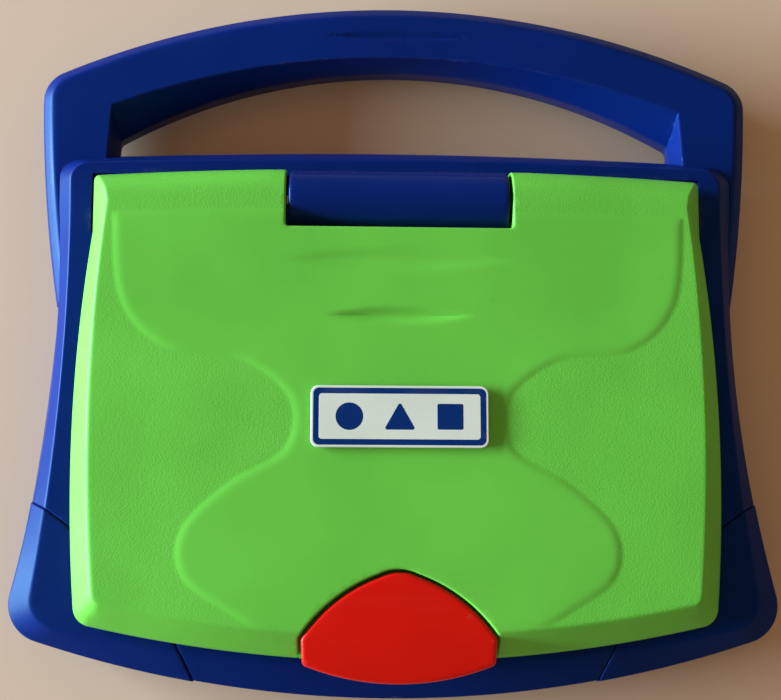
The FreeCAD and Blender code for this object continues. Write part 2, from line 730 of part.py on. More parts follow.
def screen_bezel():
    """The flat inner face of the lid, with the screen opening."""
    plate = prism(inset(LID_EDGE, LID_WALL + SEAM / 2), BEZEL_Z)
    ahead = box((-FAR, FAR), (-FAR, HINGE_Y), (0, FAR))
    barrel = rod(LID_BARREL - LID_WALL - SEAM / 2, (-FAR, FAR), HINGE_Y, HINGE_Z)
    plate = plate.common(ahead.fuse(barrel))
    opening = (WINDOW_SIZE[0] + 4 * RUNNING, WINDOW_SIZE[1] + 4 * RUNNING)
    window = rounded_slab((0, SCREEN_MID_Y), opening, WINDOW_RADIUS, (0, FAR))
    notch = box((-NOTCH_HALF - LID_WALL - SEAM, NOTCH_HALF + LID_WALL + SEAM),
                (NOTCH_FRONT_Y - LID_WALL - SEAM, FAR), (0, FAR))
    knuckles = box((-KNUCKLE_OUTER_X - SEAM, KNUCKLE_OUTER_X + SEAM),
                   (HINGE_Y - KNUCKLE_RADIUS - SEAM, FAR), (0, FAR))
    slot = box((-HOOK_SLOT_HALF, HOOK_SLOT_HALF), (HOOK_SLOT_Y[0], HOOK_SLOT_Y[1]), (0, FAR))
    cuts = [window, notch, knuckles, slot]
    for x, y in both_sides(LID_SCREWS):
        cuts.append(post(x, y, SCREW_HEAD_RADIUS + SEAM, (0, BEZEL_Z[0] + 1)))
        cuts.append(pilot(x, y, (0, FAR)))
    return plate.cut(Part.makeCompound(cuts))


def screen_window():
    """The clear pane in the bezel."""
    return rounded_slab((0, SCREEN_MID_Y), WINDOW_SIZE, WINDOW_RADIUS, (BEZEL_Z[0] + SEAM, BEZEL_Z[1]))


def lcd_panel():
    """The display behind the pane."""
    bottom = BEZEL_Z[1] + BOARD_GAP / 2
    return rounded_slab((0, SCREEN_MID_Y), LCD_SIZE, 1, (bottom, bottom + LCD_THICK))


def display_board():
    """The circuit board that drives the display."""
    bottom = BEZEL_Z[1] + LCD_THICK + 1.5 * BOARD_GAP
    return rounded_slab((0, SCREEN_MID_Y), DISPLAY_BOARD_SIZE, 2, (bottom, bottom + DISPLAY_BOARD_THICK))


def lid_badge():
    """A thin plate stuck on the raised field."""
    return rounded_slab((0, BADGE_MID_Y), BADGE_SIZE, BADGE_RADIUS, (PLATEAU_Z, PLATEAU_Z + BADGE_THICK))


def lid_bumpers():
    """Soft pads under the lid's front corners."""
    return group([post(x, y, PAD_RADIUS, (PAD_BOTTOM_Z, BEZEL_Z[0])) for x, y in both_sides(PADS)])


# ---------------------------------------------------------------- hinge

def hinge_block():
    """The knuckle in the middle of the hinge, standing on the base."""
    barrel = rod(BLOCK_BARREL, (-BLOCK_HALF, BLOCK_HALF), HINGE_Y, HINGE_Z)
    foot = box((-BLOCK_HALF, BLOCK_HALF), (HINGE_Y - BLOCK_BARREL, HINGE_Y + BLOCK_BARREL),
               (BLOCK_FOOT_Z, HINGE_Z))
    hollow = rod(BLOCK_BARREL - WALL, (-PIN_INNER_X, PIN_INNER_X), HINGE_Y, HINGE_Z)
    well = box((-PIN_INNER_X, PIN_INNER_X), (HINGE_Y - BLOCK_BARREL + WALL, HINGE_Y + BLOCK_BARREL - WALL),
               (0, HINGE_Z))
    body = fused([barrel, foot]).cut(hollow).cut(well)
    for bore in barrel_sides(PIN_RADIUS + 0.01, PIN_INNER_X - 1, BLOCK_HALF + 1):
        body = body.cut(bore)
    return body


def hinge_pins():
    """Two pins fixed in the hinge block, on which the lid turns."""
    return group(barrel_sides(PIN_RADIUS, PIN_INNER_X, PIN_OUTER_X))


# ---------------------------------------------------------------- latch

def latch_button():
    """The clasp: a domed tongue with two lugs and a hook."""
    flat, lip = LATCH_FLAT_END_Y, LATCH_FRONT_Y - 1
    profile = [(LATCH_APEX_Y + 1, LATCH_UNDER_Z), (flat, LATCH_UNDER_Z), (lip, LATCH_LIP_UNDER_Z),
               (lip, LATCH_LIP_TOP_Z), (flat - 9, LATCH_TOP_Z - 0.9), (flat, LATCH_TOP_Z),
               (LATCH_APEX_Y + 1, LATCH_TOP_Z - 0.4)]
    tongue = swept_across(profile, (-FAR, FAR)).common(prism(LATCH, (0, FAR)))
    y, z = LATCH_PIVOT
    parts = [tongue]
    for side in (-1, 1):
        x = sorted((side * LATCH_LUG[0], side * LATCH_LUG[1]))
        upright = box(x, (y - LUG_RADIUS, y + LUG_RADIUS), (z, LATCH_UNDER_Z + 0.5))
        parts.append(upright.fuse(rod(LUG_RADIUS, x, y, z)))
    parts.append(box((-HOOK_HALF, HOOK_HALF), HOOK_Y, (HOOK_TIP_Z, LATCH_UNDER_Z + 0.5)))
    barb = [(HOOK_Y[1] - 0.5, HOOK_TIP_Z), (HOOK_Y[1], HOOK_TIP_Z), (HOOK_Y[1] + HOOK_BARB, HOOK_TIP_Z + 2),
            (HOOK_Y[1] - 0.5, HOOK_TIP_Z + 2)]
    parts.append(swept_across(barb, (-HOOK_HALF, HOOK_HALF)))
    body = fused(parts)
    return body.cut(rod(LATCH_PIN_RADIUS + RUNNING, (-LATCH_PIN_HALF, LATCH_PIN_HALF), y, z))


def latch_pin():
    """The pin that the latch turns on."""
    return rod(LATCH_PIN_RADIUS, (-LATCH_PIN_HALF + 2, LATCH_PIN_HALF - 2), *LATCH_PIVOT)


def latch_spring():
    """A coil of round wire on the latch pin."""
    length = 2 * SPRING_HALF
    turns = 10
    path = Part.makeHelix(length / turns, length, SPRING_RADIUS)
    start = Vec(SPRING_RADIUS, 0, 0)
    section = Part.Wire(Part.makeCircle(SPRING_WIRE / 2, start, Vec(0, 1, 0)))
    coil = Part.Wire(path.Edges).makePipeShell([section], True, True)
    coil.rotate(Vec(0, 0, 0), Vec(0, 1, 0), 90)
    y, z = LATCH_PIVOT
    coil.translate(Vec(-SPRING_HALF, y, z))
    return coil


# ---------------------------------------------------------------- keyboard

def key_table():
    """Every key as {name: (x, y, width)}."""
    keys = {}
    for index, letter in enumerate("qwertyuiop"):
        keys["key_" + letter] = ((index - 4.5) * KEY_PITCH, ROW_Y[0], KEY_WIDTH)
    for index, letter in enumerate("asdfghjkl"):
        keys["key_" + letter] = ((index - 4.25) * KEY_PITCH, ROW_Y[1], KEY_WIDTH)
    for index, letter in enumerate("zxcvbnm"):
        keys["key_" + letter] = ((index - 3.75) * KEY_PITCH, ROW_Y[2], KEY_WIDTH)
    keys["key_enter"] = (4.75 * KEY_PITCH, ROW_Y[1], KEY_WIDTH)
    keys["key_erase"] = (3.75 * KEY_PITCH, ROW_Y[2], KEY_WIDTH + KEY_PITCH)
    keys["key_space"] = (0, ROW_Y[3], KEY_WIDTH + 4 * KEY_PITCH)
    keys["key_power"] = (-4 * KEY_PITCH, ROW_Y[3], KEY_WIDTH + KEY_PITCH / 2)
    return keys


KEYS = key_table()


def key(x, y, width):
    """One key cap, wider below so that the panel holds it in."""
    low = rounded_rectangle((x, y), (width + KEY_TAPER, KEY_DEPTH + KEY_TAPER), KEY_RADIUS)
    high = rounded_rectangle((x, y), (width - KEY_TAPER, KEY_DEPTH - KEY_TAPER), KEY_RADIUS)
    return stacked([(low, KEY_Z[0]), (high, KEY_Z[1])])


def key_hole(x, y, width):
    """The opening that a key moves in: a little wider than the key is at the panel's underside."""
    rise = (PANEL_Z[0] - KEY_Z[0]) / (KEY_Z[1] - KEY_Z[0])
    grow = KEY_TAPER * (1 - 2 * rise) + 2 * KEY_GAP
    return rounded_slab((x, y), (width + grow, KEY_DEPTH + grow), KEY_RADIUS, (PANEL_Z[0] - 1, PANEL_Z[1] + 1))


def grille_slots():
    """Parallel slots over the speaker, each as long as the circle is wide there."""
    x, y = SPEAKER_AT
    reach = SPEAKER_RADIUS - 2
    count = int(reach / GRILLE_PITCH)
    slots = []
    for index in range(-count, count + 1):
        offset = index * GRILLE_PITCH
        half = math.sqrt(reach ** 2 - offset ** 2)
        slots.append(rounded_slab((x, y + offset), (2 * half, GRILLE_SLOT), GRILLE_SLOT / 2.2,
                                  (PANEL_Z[0] - 1, PANEL_Z[1] + 1)))
    return slots


def keyboard_panel():
    """The plate that the keys stand through, clamped under the rim."""
    half_x = WINDOW_HALF_X + PANEL_MARGIN
    plate = box((-half_x, half_x), (WINDOW_Y[0] - PANEL_MARGIN, WINDOW_Y[1] - 1), PANEL_Z)
    cuts = [key_hole(*place) for place in KEYS.values()] + grille_slots()
    return plate.cut(Part.makeCompound(cuts))


def main_board():
    """The circuit board under the keys."""
    return box((-BOARD_X, BOARD_X), BOARD_Y, BOARD_Z)


def key_dome_mat():
    """The rubber sheet between board and keys, with a dome under each key."""
    sheet = box((-BOARD_X, BOARD_X), BOARD_Y, (BOARD_Z[1], BOARD_Z[1] + MAT_THICK))
    height = DOME_TOP_Z - BOARD_Z[1]
    domes = [Part.makeCone(DOME_RADIUS, DOME_RADIUS - 1.2, height, Vec(x, y, BOARD_Z[1]))
             for x, y, _ in KEYS.values()]
    return fused([sheet] + domes)


def speaker():
    """A round speaker under the grille, with its magnet below."""
    x, y = SPEAKER_AT
    middle = SPEAKER_Z[0] + 3.5
    magnet = post(x, y, SPEAKER_RADIUS / 2, (SPEAKER_Z[0], middle + 0.5))
    basket = Part.makeCone(SPEAKER_RADIUS / 2, SPEAKER_RADIUS, SPEAKER_Z[1] - 1 - middle, Vec(x, y, middle))
    rim = post(x, y, SPEAKER_RADIUS, (SPEAKER_Z[1] - 1.2, SPEAKER_Z[1]))
    return fused([magnet, basket, rim])


# ---------------------------------------------------------------- fasteners

def screw(length):
    """A pan-head screw, head at the origin, pointing along +Z."""
    head = Part.makeCylinder(SCREW_HEAD_RADIUS, SCREW_HEAD_HEIGHT)
    shank = Part.makeCylinder(SCREW_RADIUS, length, Vec(0, 0, SCREW_HEAD_HEIGHT / 2))
    long, narrow = [(-half, half) for half in SCREW_CROSS]
    cross = fused([box(long, narrow, (-1, 1)), box(narrow, long, (-1, 1))])
    return fused([head, shank]).cut(cross)


def placed(shape, at, axis=Vec(0, 0, 1)):
    """The shape turned from +Z to the axis and moved."""
    copy = shape.copy()
    copy.Placement = FreeCAD.Placement(at, FreeCAD.Rotation(Vec(0, 0, 1), axis))
    return copy


def case_screws():
    """Screws from below that clamp the lower case to the mouldings above."""
    z = FOOT_HEIGHT + 1
    return group([placed(screw(CASE_SCREW_LENGTH), Vec(x, y, z)) for x, y in both_sides(CASE_SCREWS)])


def handle_screws():
    """Screws from inside the base's rear wall into the arch."""
    screws = []
    for side in (-1, 1):
        for z, head_y in HANDLE_SCREWS:
            length = HANDLE_SCREW_END_Y - 1 - head_y
            head = Vec(side * HANDLE_SCREW_X, head_y, z)
            screws.append(placed(screw(length), head, Vec(0, 1, 0)))
    return group(screws)


def battery_door_screw():
    return placed(screw(DOOR_SCREW_LENGTH), Vec(0, DOOR_SCREW_Y, FOOT_HEIGHT - SCREW_SUNK))


def lid_screws():
    """Screws from the inner face of the lid into the outer moulding."""
    z = BEZEL_Z[0] - SCREW_SUNK
    length = LID_SCREW_TOP_Z - z - SCREW_HEAD_HEIGHT
    return group([placed(screw(length), Vec(x, y, z)) for x, y in both_sides(LID_SCREWS)])


# ---------------------------------------------------------------- all pieces

PIECES = {
    "lower_case": lower_case,
    "upper_case": upper_case,
    "corner_cap_left": lambda: corner_cap(-1),
    "corner_cap_right": lambda: corner_cap(1),
    "keyboard_panel": keyboard_panel,
    "handle_upper_half": handle_upper_half,
    "handle_lower_half": handle_lower_half,
    "hinge_block": hinge_block,
    "hinge_pins": hinge_pins,
    "rubber_feet": rubber_feet,
    "battery_door": battery_door,
    "battery_door_screw": battery_door_screw,
    "battery_cells": battery_cells,
    "battery_contacts": battery_contacts,
    "main_board": main_board,
    "key_dome_mat": key_dome_mat,
    "speaker": speaker,
    "case_screws": case_screws,
    "handle_screws": handle_screws,
    "lid_shell": lid_shell,
    "screen_bezel": screen_bezel,
    "screen_window": screen_window,
    "lcd_panel": lcd_panel,
    "display_board": display_board,
    "lid_badge": lid_badge,
    "lid_screws": lid_screws,
    "lid_bumpers": lid_bumpers,
    "latch_button": latch_button,
    "latch_pin": latch_pin,
    "latch_spring": latch_spring,
}

os.makedirs("parts", exist_ok=True)
for name, make in PIECES.items():
    make().exportStep("parts/" + name + ".step")
for name, place in KEYS.items():
    key(*place).exportStep("parts/" + name + ".step")
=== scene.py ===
"""Looks for the toy laptop computer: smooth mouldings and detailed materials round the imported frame.

Plan sizes are millimetres in the row frame (X right, +Y towards the carrying arch, Z up) until a mesh
is made, which is in metres. Most mouldings are height fields: a plan triangulation that follows the
outlines, lifted to a top and a bottom surface, with walls between them.
"""

import json
import math

import bpy
import numpy as np
from mathutils import Matrix, Vector, kdtree
from mathutils.geometry import delaunay_2d_cdt


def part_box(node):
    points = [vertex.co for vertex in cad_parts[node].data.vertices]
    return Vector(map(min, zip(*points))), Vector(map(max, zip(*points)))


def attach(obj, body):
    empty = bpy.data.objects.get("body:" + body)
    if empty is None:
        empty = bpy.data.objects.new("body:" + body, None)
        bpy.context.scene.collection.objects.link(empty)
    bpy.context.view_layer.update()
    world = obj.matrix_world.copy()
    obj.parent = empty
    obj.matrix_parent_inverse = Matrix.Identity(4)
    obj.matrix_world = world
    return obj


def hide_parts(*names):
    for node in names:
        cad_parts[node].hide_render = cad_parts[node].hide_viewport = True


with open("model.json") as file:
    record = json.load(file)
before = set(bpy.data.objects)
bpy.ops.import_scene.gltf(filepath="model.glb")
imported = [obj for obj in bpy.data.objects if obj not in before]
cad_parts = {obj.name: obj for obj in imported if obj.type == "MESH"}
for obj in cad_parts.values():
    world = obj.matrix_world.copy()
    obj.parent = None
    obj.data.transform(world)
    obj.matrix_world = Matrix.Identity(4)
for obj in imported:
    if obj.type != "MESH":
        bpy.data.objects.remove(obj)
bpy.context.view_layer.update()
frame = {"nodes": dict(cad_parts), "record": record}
MM = 0.001


# ---------------------------------------------------------------- driving sizes, as in the CAD

PARTING_Z = 15.0
HANDLE_BOTTOM_Z, HANDLE_SPLIT_Z, HANDLE_TOP_Z = 5.0, 16.0, 27.0
RIM_Z = 33.0
LID_BOTTOM_Z, LID_BEVEL_Z, LID_TOP_Z, PLATEAU_Z = 34.5, 40.0, 50.0, 51.2
LID_WALL = 2.3
SEAM = 0.3
CAP_PROUD = 0.5

ARCH_REAR = (144.85, 106.1, 139.75)
ARCH_SIDE_MID, ARCH_SIDE_END = (139.97, 39.8), (126.85, -30.0)
ARCH_CORNER_RADIUS, ARCH_DRAFT, ARCH_BEVEL, ARCH_BEVEL_HEIGHT = 14.0, 1.4, 4.0, 3.5
LEG_TIP_Y = 13.0
GRIP_TOP = (115.2, 94.5, 116.5, 117.2)
GRIP_LOW = (112.6, 83.0, 113.5, 114.0)
GRIP_SLOPE_END_Z, GRIP_INSIDE_Y, GRIP_DRAFT = 17.0, 60.0, 1.3

BASE_REAR, BASE_SIDE, BASE_FRONT = (135.5, 75.5, 78.7), (137.4, -17.0), (151.4, -113.3, -139.75)
SHOULDER_REAR, SHOULDER_SIDE = (136.4, 71.0, 75.2), (134.6, -17.0)
SHOULDER_FRONT = (150.2, -113.3, -139.4)
RIM_REAR, RIM_SIDE, RIM_FRONT = (129.8, 68.4, 70.9), (130.6, -20.0), (139.5, -110.5, -128.0)
BASE_CORNERS, SHOULDER_CORNERS, RIM_CORNERS = (12.0, 15.8), (9.5, 14.5), (7.0, 10.5)
CAP_SEAM = [(160.0, -60.0), (142.0, -65.0), (133.6, -69.0), (125.8, -74.6),
            (83.4, -119.4), (77.8, -131.5), (74.0, -150.0)]

LID_REAR, LID_KNEE = (119.3, 61.2, 65.2), (119.1, 38.5)
LID_SIDE, LID_FRONT = (124.4, -42.0), (120.9, -111.2, -125.2)
TOP_REAR, TOP_KNEE = (114.6, 61.4, 65.1), (112.6, 48.5)
TOP_SIDE, TOP_FRONT = (116.9, -34.0), (113.0, -104.0, -116.0)
LID_CORNERS, TOP_CORNERS = (2.4, 7.5), (1.2, 4.0)
PLATEAU_HALF = [(109.0, 42.7), (105.0, 10.2), (88.7, -7.2), (59.7, -11.8), (40.5, -27.3),
                (42.2, -47.2), (63.5, -60.8), (80.0, -77.5), (79.0, -94.4), (60.0, -108.0)]
PLATEAU_REAR_Y, PLATEAU_ROLL = 45.1, (-1.9, 3.4)
LENSES = [(4.4, 59.4, 7.7), (26.2, 95.0, 11.6)]
LENS_DEPTHS = (2.3, 1.6)
GRIP_LENS, GRIP_LENS_DEPTH = (125.6, 59.0, 3.8), 1.0
BADGE_SIZE, BADGE_MID_Y, BADGE_RADIUS, BADGE_TOP_Z = (67.0, 23.4), -34.6, 3.0, 51.8

HINGE_Y, HINGE_Z = 52.0, 38.0
LID_BARREL, BLOCK_BARREL, TROUGH = 12.5, 12.1, 13.1
BLOCK_HALF, NOTCH_HALF, NOTCH_FRONT_Y, TROUGH_END_X = 43.0, 44.0, 39.2, 121.0
BLOCK_FOOT_Z = HINGE_Z - BLOCK_BARREL

LATCH_APEX_Y, LATCH_APEX_SIDE = -92.4, (7.0, -94.1)
LATCH_FLANK, LATCH_SHOULDER, LATCH_CORNER = (23.6, -103.2), (36.3, -116.8), (35.8, -126.2)
LATCH_FRONT_Y, LATCH_ROUND, LATCH_GAP = -133.2, 2.2, 1.1
LATCH_TOP_Z, LATCH_UNDER_Z, LATCH_FLAT_END_Y = 50.2, 46.0, -112.0
LATCH_LIP_TOP_Z, LATCH_LIP_UNDER_Z = 46.4, 43.4
POCKET_FLOOR_Z = 41.5
HOOK_HALF, HOOK_Y, HOOK_TIP_Z = 8.0, (-119.0, -116.5), 29.5
HOOK_SLOT_HALF, HOOK_SLOT_Y = 9.5, (-123.6, -114.2)
KNUCKLE_RADIUS, KNUCKLE_LENGTH = 5.9, 11.6
LATCH_PIVOT, LUG_RADIUS, LATCH_LUG, LID_LUG = (-105.0, 43.8), 1.85, (8.0, 11.0), (12.0, 15.0)
KEY_SHOULDER, KEY_SIDE_TAPER, LETTER_HEIGHT, WORD_HEIGHT = 1.1, 1.3, 5.6, 2.9

WINDOW_HALF_X, WINDOW_Y = 104.0, (-88.0, 36.0)

CURVE_STEP = 1.2      # spacing of points along an outline
STEEP = 0.04          # half the plan width of an upright step inside a height field
EDGE_RINGS = (0.0, 0.15, 0.4)
SHOULDER_RINGS = (-1.2, -0.7, -0.35, 0.0, 0.35, 0.7, 1.2, 3.0)
RIM_RINGS = (-0.8, -0.4, 0.0, 0.4, 0.8)

WINDOW_ROUND, SLOT_ROUND, SEAM_ROUND, CAP_ROUND = 1.2, 0.5, 0.6, 0.8
WINDOW_MARGIN = 2.0   # how far the corner caps stay from the keyboard window
LID_ROUND, NOTCH_ROUND, LATCH_EDGE, BLOCK_END_ROUND = 1.3, 0.8, 1.3, 1.2
KEY_CORNER, LEGEND_SINK = 2.2, 0.21
KEY_DISH = ((0.35, 0.08), (0.55, 0.16), (0.75, 0.22), (0.93, 0.25))   # share of the way in, sink


# ---------------------------------------------------------------- plan curves

def arc(first, middle, last, step=CURVE_STEP):
    """Points along the circle through three points, both ends included."""
    (ax, ay), (bx, by), (cx, cy) = first, middle, last
    d = 2 * (ax * (by - cy) + bx * (cy - ay) + cx * (ay - by))
    a2, b2, c2 = ax * ax + ay * ay, bx * bx + by * by, cx * cx + cy * cy
    ux = (a2 * (by - cy) + b2 * (cy - ay) + c2 * (ay - by)) / d
    uy = (a2 * (cx - bx) + b2 * (ax - cx) + c2 * (bx - ax)) / d
    radius = math.hypot(ax - ux, ay - uy)
    start, mid, end = [math.atan2(y - uy, x - ux) for x, y in (first, middle, last)]
    sweep = (end - start) % (2 * math.pi)
    if (mid - start) % (2 * math.pi) > sweep:
        sweep -= 2 * math.pi
    count = max(3, int(abs(sweep) * radius / step) + 1)
    angles = start + np.linspace(0, sweep, count)
    return np.stack([ux + radius * np.cos(angles), uy + radius * np.sin(angles)], 1)


def line(first, last, step=CURVE_STEP):
    """Points along a straight line, both ends included."""
    count = max(2, int(math.dist(first, last) / step) + 1)
    return np.linspace(first, last, count)


def mirrored(point):
    """The point on the other side of the middle plane."""
    return (-point[0], point[1])


def right_normals(curve):
    """Unit normals on the right-hand side of travel, which is the inside of a clockwise loop."""
    tangent = np.gradient(curve, axis=0)
    tangent /= np.linalg.norm(tangent, axis=1)[:, None]
    return np.stack([tangent[:, 1], -tangent[:, 0]], 1)


def crossing(a, b):
    """Where the end of curve a meets the start of curve b, as positions along each, or None."""
    pa, da = a[:-1, None], np.diff(a, axis=0)[:, None]
    pb, db = b[None, :-1], np.diff(b, axis=0)[None]
    det = da[..., 0] * db[..., 1] - da[..., 1] * db[..., 0]
    det = np.where(abs(det) < 1e-12, 1e-12, det)
    gap = pb - pa
    s = (gap[..., 0] * db[..., 1] - gap[..., 1] * db[..., 0]) / det
    t = (gap[..., 0] * da[..., 1] - gap[..., 1] * da[..., 0]) / det
    hits = np.argwhere((s >= 0) & (s <= 1) & (t >= 0) & (t <= 1))
    if not len(hits):
        return None
    i, j = max(hits, key=lambda h: h[0] - h[1])
    return i + s[i, j], j + t[i, j]


def at(curve, position):
    """The point at a fractional position along a curve."""
    i = min(int(position), len(curve) - 2)
    return curve[i] + (position - i) * (curve[i + 1] - curve[i])


def rounded(edges, radii):
    """A clockwise loop of curves, with each outward corner between two of them turned into an arc.

    radii is one radius, or one for the corner after each edge.
    """
    count = len(edges)
    if isinstance(radii, float):
        radii = [radii] * count
    inner = [edge + radius * right_normals(edge) for edge, radius in zip(edges, radii)]
    following = [edges[(i + 1) % count] for i in range(count)]
    meets = [crossing(inner[i], following[i] + radii[i] * right_normals(following[i])) for i in range(count)]
    points = []
    for i, edge in enumerate(edges):
        before, after = meets[i - 1], meets[i]
        low = before[1] if before else 0
        high = after[0] if after else len(edge) - 1
        kept = [at(edge, low)] + [edge[k] for k in range(math.ceil(low + 0.3), int(high - 0.3) + 1)]
        points += kept
        if not after:
            continue
        points.append(at(edge, high))
        centre = at(inner[i], high)
        start = at(edge, high) - centre
        end = at(edges[(i + 1) % count], after[1]) - centre
        turn = (math.atan2(*start[::-1]) - math.atan2(*end[::-1])) % (2 * math.pi)
        steps = max(3, int(turn / math.radians(6)))
        for k in range(1, steps):
            angle = math.atan2(*start[::-1]) - turn * k / steps
            points.append(centre + radii[i] * np.array([math.cos(angle), math.sin(angle)]))
    return Outline(points)


class Outline:
    """A closed plan curve, clockwise from above, that knows how far inside it a point is."""

    def __init__(self, points):
        self.points = np.array(points, float)
        tangent = np.roll(self.points, -1, 0) - np.roll(self.points, 1, 0)
        tangent /= np.linalg.norm(tangent, axis=1)[:, None]
        self.outward = np.stack([-tangent[:, 1], tangent[:, 0]], 1)
        self.tree = kdtree.KDTree(len(self.points))
        for i, (x, y) in enumerate(self.points):
            self.tree.insert((x, y, 0), i)
        self.tree.balance()

    def depth(self, xy):
        """Distance inside the outline, negative outside."""
        near = np.array([self.tree.find((x, y, 0))[1] for x, y in xy])
        best = np.full(len(xy), 1e9)
        gap = np.zeros((len(xy), 2))
        start = self.points[near]
        for step in (1, -1):
            along = self.points[(near + step) % len(self.points)] - start
            t = np.clip(((xy - start) * along).sum(1) / (along ** 2).sum(1), 0, 1)
            off = xy - start - t[:, None] * along
            dist = np.linalg.norm(off, axis=1)
            closer = dist < best
            best = np.where(closer, dist, best)
            gap[closer] = off[closer]
        return -np.sign((gap * self.outward[near]).sum(1)) * best

    def holds(self, xy):
        return self.depth(xy) > 0

    def moved_in(self, distance):
        return self.points - distance * self.outward

    def inset(self, distance):
        return Outline(self.moved_in(distance))

    def loops(self, *distances):
        """Closed lines at distances in from the outline, for plan_mesh."""
        return [(self.moved_in(distance), True) for distance in distances]

    def loops_out(self, *distances):
        """Closed lines at distances out from the outline, for plan_mesh."""
        return self.loops(*[-distance for distance in distances])


def bow(corner, middle_y, step=CURVE_STEP):
    """The arc from a corner's mirror image to the corner, through the middle line at middle_y."""
    return arc(mirrored(corner), (0, middle_y), corner, step)


def symmetric(rear, right, front, radii):
    """A rounded loop from its rear edge, its right-hand edges and its front edge, all clockwise."""
    left = [edge[::-1] * [-1, 1] for edge in reversed(right)]
    return rounded([rear, *right, front, *left], radii)


def bowed_outline(rear, side, front, radii, knee=None):
    """Bowed rear and front, arched sides and round corners, with a knee beside the hinge if given.

    radii holds the rear corners' radius and the front corners' radius.
    """
    rear_corner, front_corner = rear[:2], front[:2]
    right = arc(knee or rear_corner, side, front_corner)
    if knee:
        right = np.concatenate([line(rear_corner, knee)[:-1], right])
    front_edge = bow(front_corner, front[2])[::-1]
    return symmetric(bow(rear_corner, rear[2]), [right], front_edge, [radii[0], radii[1], radii[1], radii[0]])


def grip_outline(corner_x, corner_y, middle_y, foot_x):
    """The finger opening: arched at the rear, straight where it runs into the base."""
    corner, foot = (corner_x, corner_y), (foot_x, GRIP_INSIDE_Y)
    return symmetric(bow(corner, middle_y), [line(corner, foot)], line(foot, mirrored(foot)), 1.5)


def arch_outline():
    """The whole carrying arch with its legs, which run on under the base."""
    side = arc(ARCH_REAR[:2], ARCH_SIDE_MID, ARCH_SIDE_END)
    return symmetric(bow(ARCH_REAR[:2], ARCH_REAR[2]), [side], line(ARCH_SIDE_END, mirrored(ARCH_SIDE_END)),
                     ARCH_CORNER_RADIUS)


def latch_outline():
    """The clasp: a pointed rear, round flanks and a bowed front."""
    step = 0.6
    flank = arc(LATCH_APEX_SIDE, LATCH_FLANK, LATCH_SHOULDER, step)
    side = line(LATCH_SHOULDER, LATCH_CORNER, step)
    front = bow(LATCH_CORNER, LATCH_FRONT_Y, step)[::-1]
    return symmetric(bow(LATCH_APEX_SIDE, LATCH_APEX_Y, step), [flank, side], front, LATCH_ROUND)


def polygon_outline(corners, step=CURVE_STEP):
    """A clockwise polygon with points along its sides."""
    sides = [line(a, b, step)[:-1] for a, b in zip(corners, corners[1:] + corners[:1])]
    return Outline(np.concatenate(sides))


def rectangle(x, y, radius=0.0, step=CURVE_STEP):
    corners = [(x[0], y[1]), (x[1], y[1]), (x[1], y[0]), (x[0], y[0])]
    if not radius:
        return polygon_outline(corners, step)
    return rounded([line(a, b, step) for a, b in zip(corners, corners[1:] + corners[:1])], radius)


def cap_wedge(side):
    """The corner outside the seam line."""
    inner = CAP_SEAM[::-1]
    corners = inner + [(200.0, -60.0), (200.0, -150.0)]
    if side < 0:
        corners = [mirrored(c) for c in corners][::-1]
    outline = polygon_outline(corners)
    area = np.cross(outline.points, np.roll(outline.points, -1, 0)).sum()
    return outline if area < 0 else Outline(outline.points[::-1])


def smooth_curve(points, step=CURVE_STEP):
    """A Catmull-Rom curve through the points."""
    p = np.array([points[0]] + list(points) + [points[-1]], float)
    out = []
    for i in range(1, len(p) - 2):
        n = max(2, int(np.linalg.norm(p[i + 1] - p[i]) / step))
        t = np.linspace(0, 1, n, endpoint=False)[:, None]
        out.append(0.5 * (2 * p[i] + (p[i + 1] - p[i - 1]) * t
                          + (2 * p[i - 1] - 5 * p[i] + 4 * p[i + 1] - p[i + 2]) * t ** 2
                          + (3 * p[i] - p[i - 1] - 3 * p[i + 1] + p[i + 2]) * t ** 3))
    return np.concatenate(out + [p[-1:]])


def plateau_outline():
    """The butterfly-shaped raised field, open towards the front bevel."""
    right = smooth_curve(PLATEAU_HALF + [(40.0, -124.0)])
    left = right[::-1] * [-1, 1]
    rear = arc(left[-1], (0, PLATEAU_REAR_Y), right[0])
    front = line(right[-1], left[0])
    return Outline(np.concatenate([rear[:-1], right[:-1], front[:-1], left[:-1]]))


# ---------------------------------------------------------------- surfaces

def step_up(value, low, high):
    """0 below low, 1 above high, smooth between."""
    t = np.clip((value - low) / (high - low), 0, 1)
    return t * t * (3 - 2 * t)


def roll_up(value, low, high):
    """0 below low, 1 above high, with a crisp start and a soft finish."""
    t = np.clip((value - low) / (high - low), 0, 1) ** 0.8
    return t * t * (3 - 2 * t)


def bowl(depth, half_width):
    """1 at the middle of a hollow and 0 at its edge, with round sides."""
    return np.clip(1 - np.clip(1 - depth / half_width, 0, 1) ** 2, 0, 1)


def soft_min(a, b, width):
    """The lower of two heights, with a fillet where they cross."""
    t = np.clip(0.5 + 0.5 * (b - a) / width, 0, 1)
    return b + (a - b) * t - width * t * (1 - t)


def drop(depth, radius):
    """How far a round edge of that radius lies below the flat, at a distance in from the edge."""
    inside = np.clip(radius - depth, 0, radius)
    return radius - np.sqrt(np.maximum(radius ** 2 - inside ** 2, 0))


def edge_rings(radius, steps=6):
    """Distances in from an edge, starting at it, at which its rounding needs points."""
    return [radius * (1 - math.cos(math.pi / 2 * k / steps)) for k in range(steps + 1)]


def lens_depth(xy, middle_y, length, width):
    """Distance inside a shape between two arcs that meet in points on X."""
    half, rise = length / 2, width / 2
    radius = (half ** 2 + rise ** 2) / (2 * rise)
    return radius - np.hypot(xy[:, 0], np.abs(xy[:, 1] - middle_y) + radius - rise)


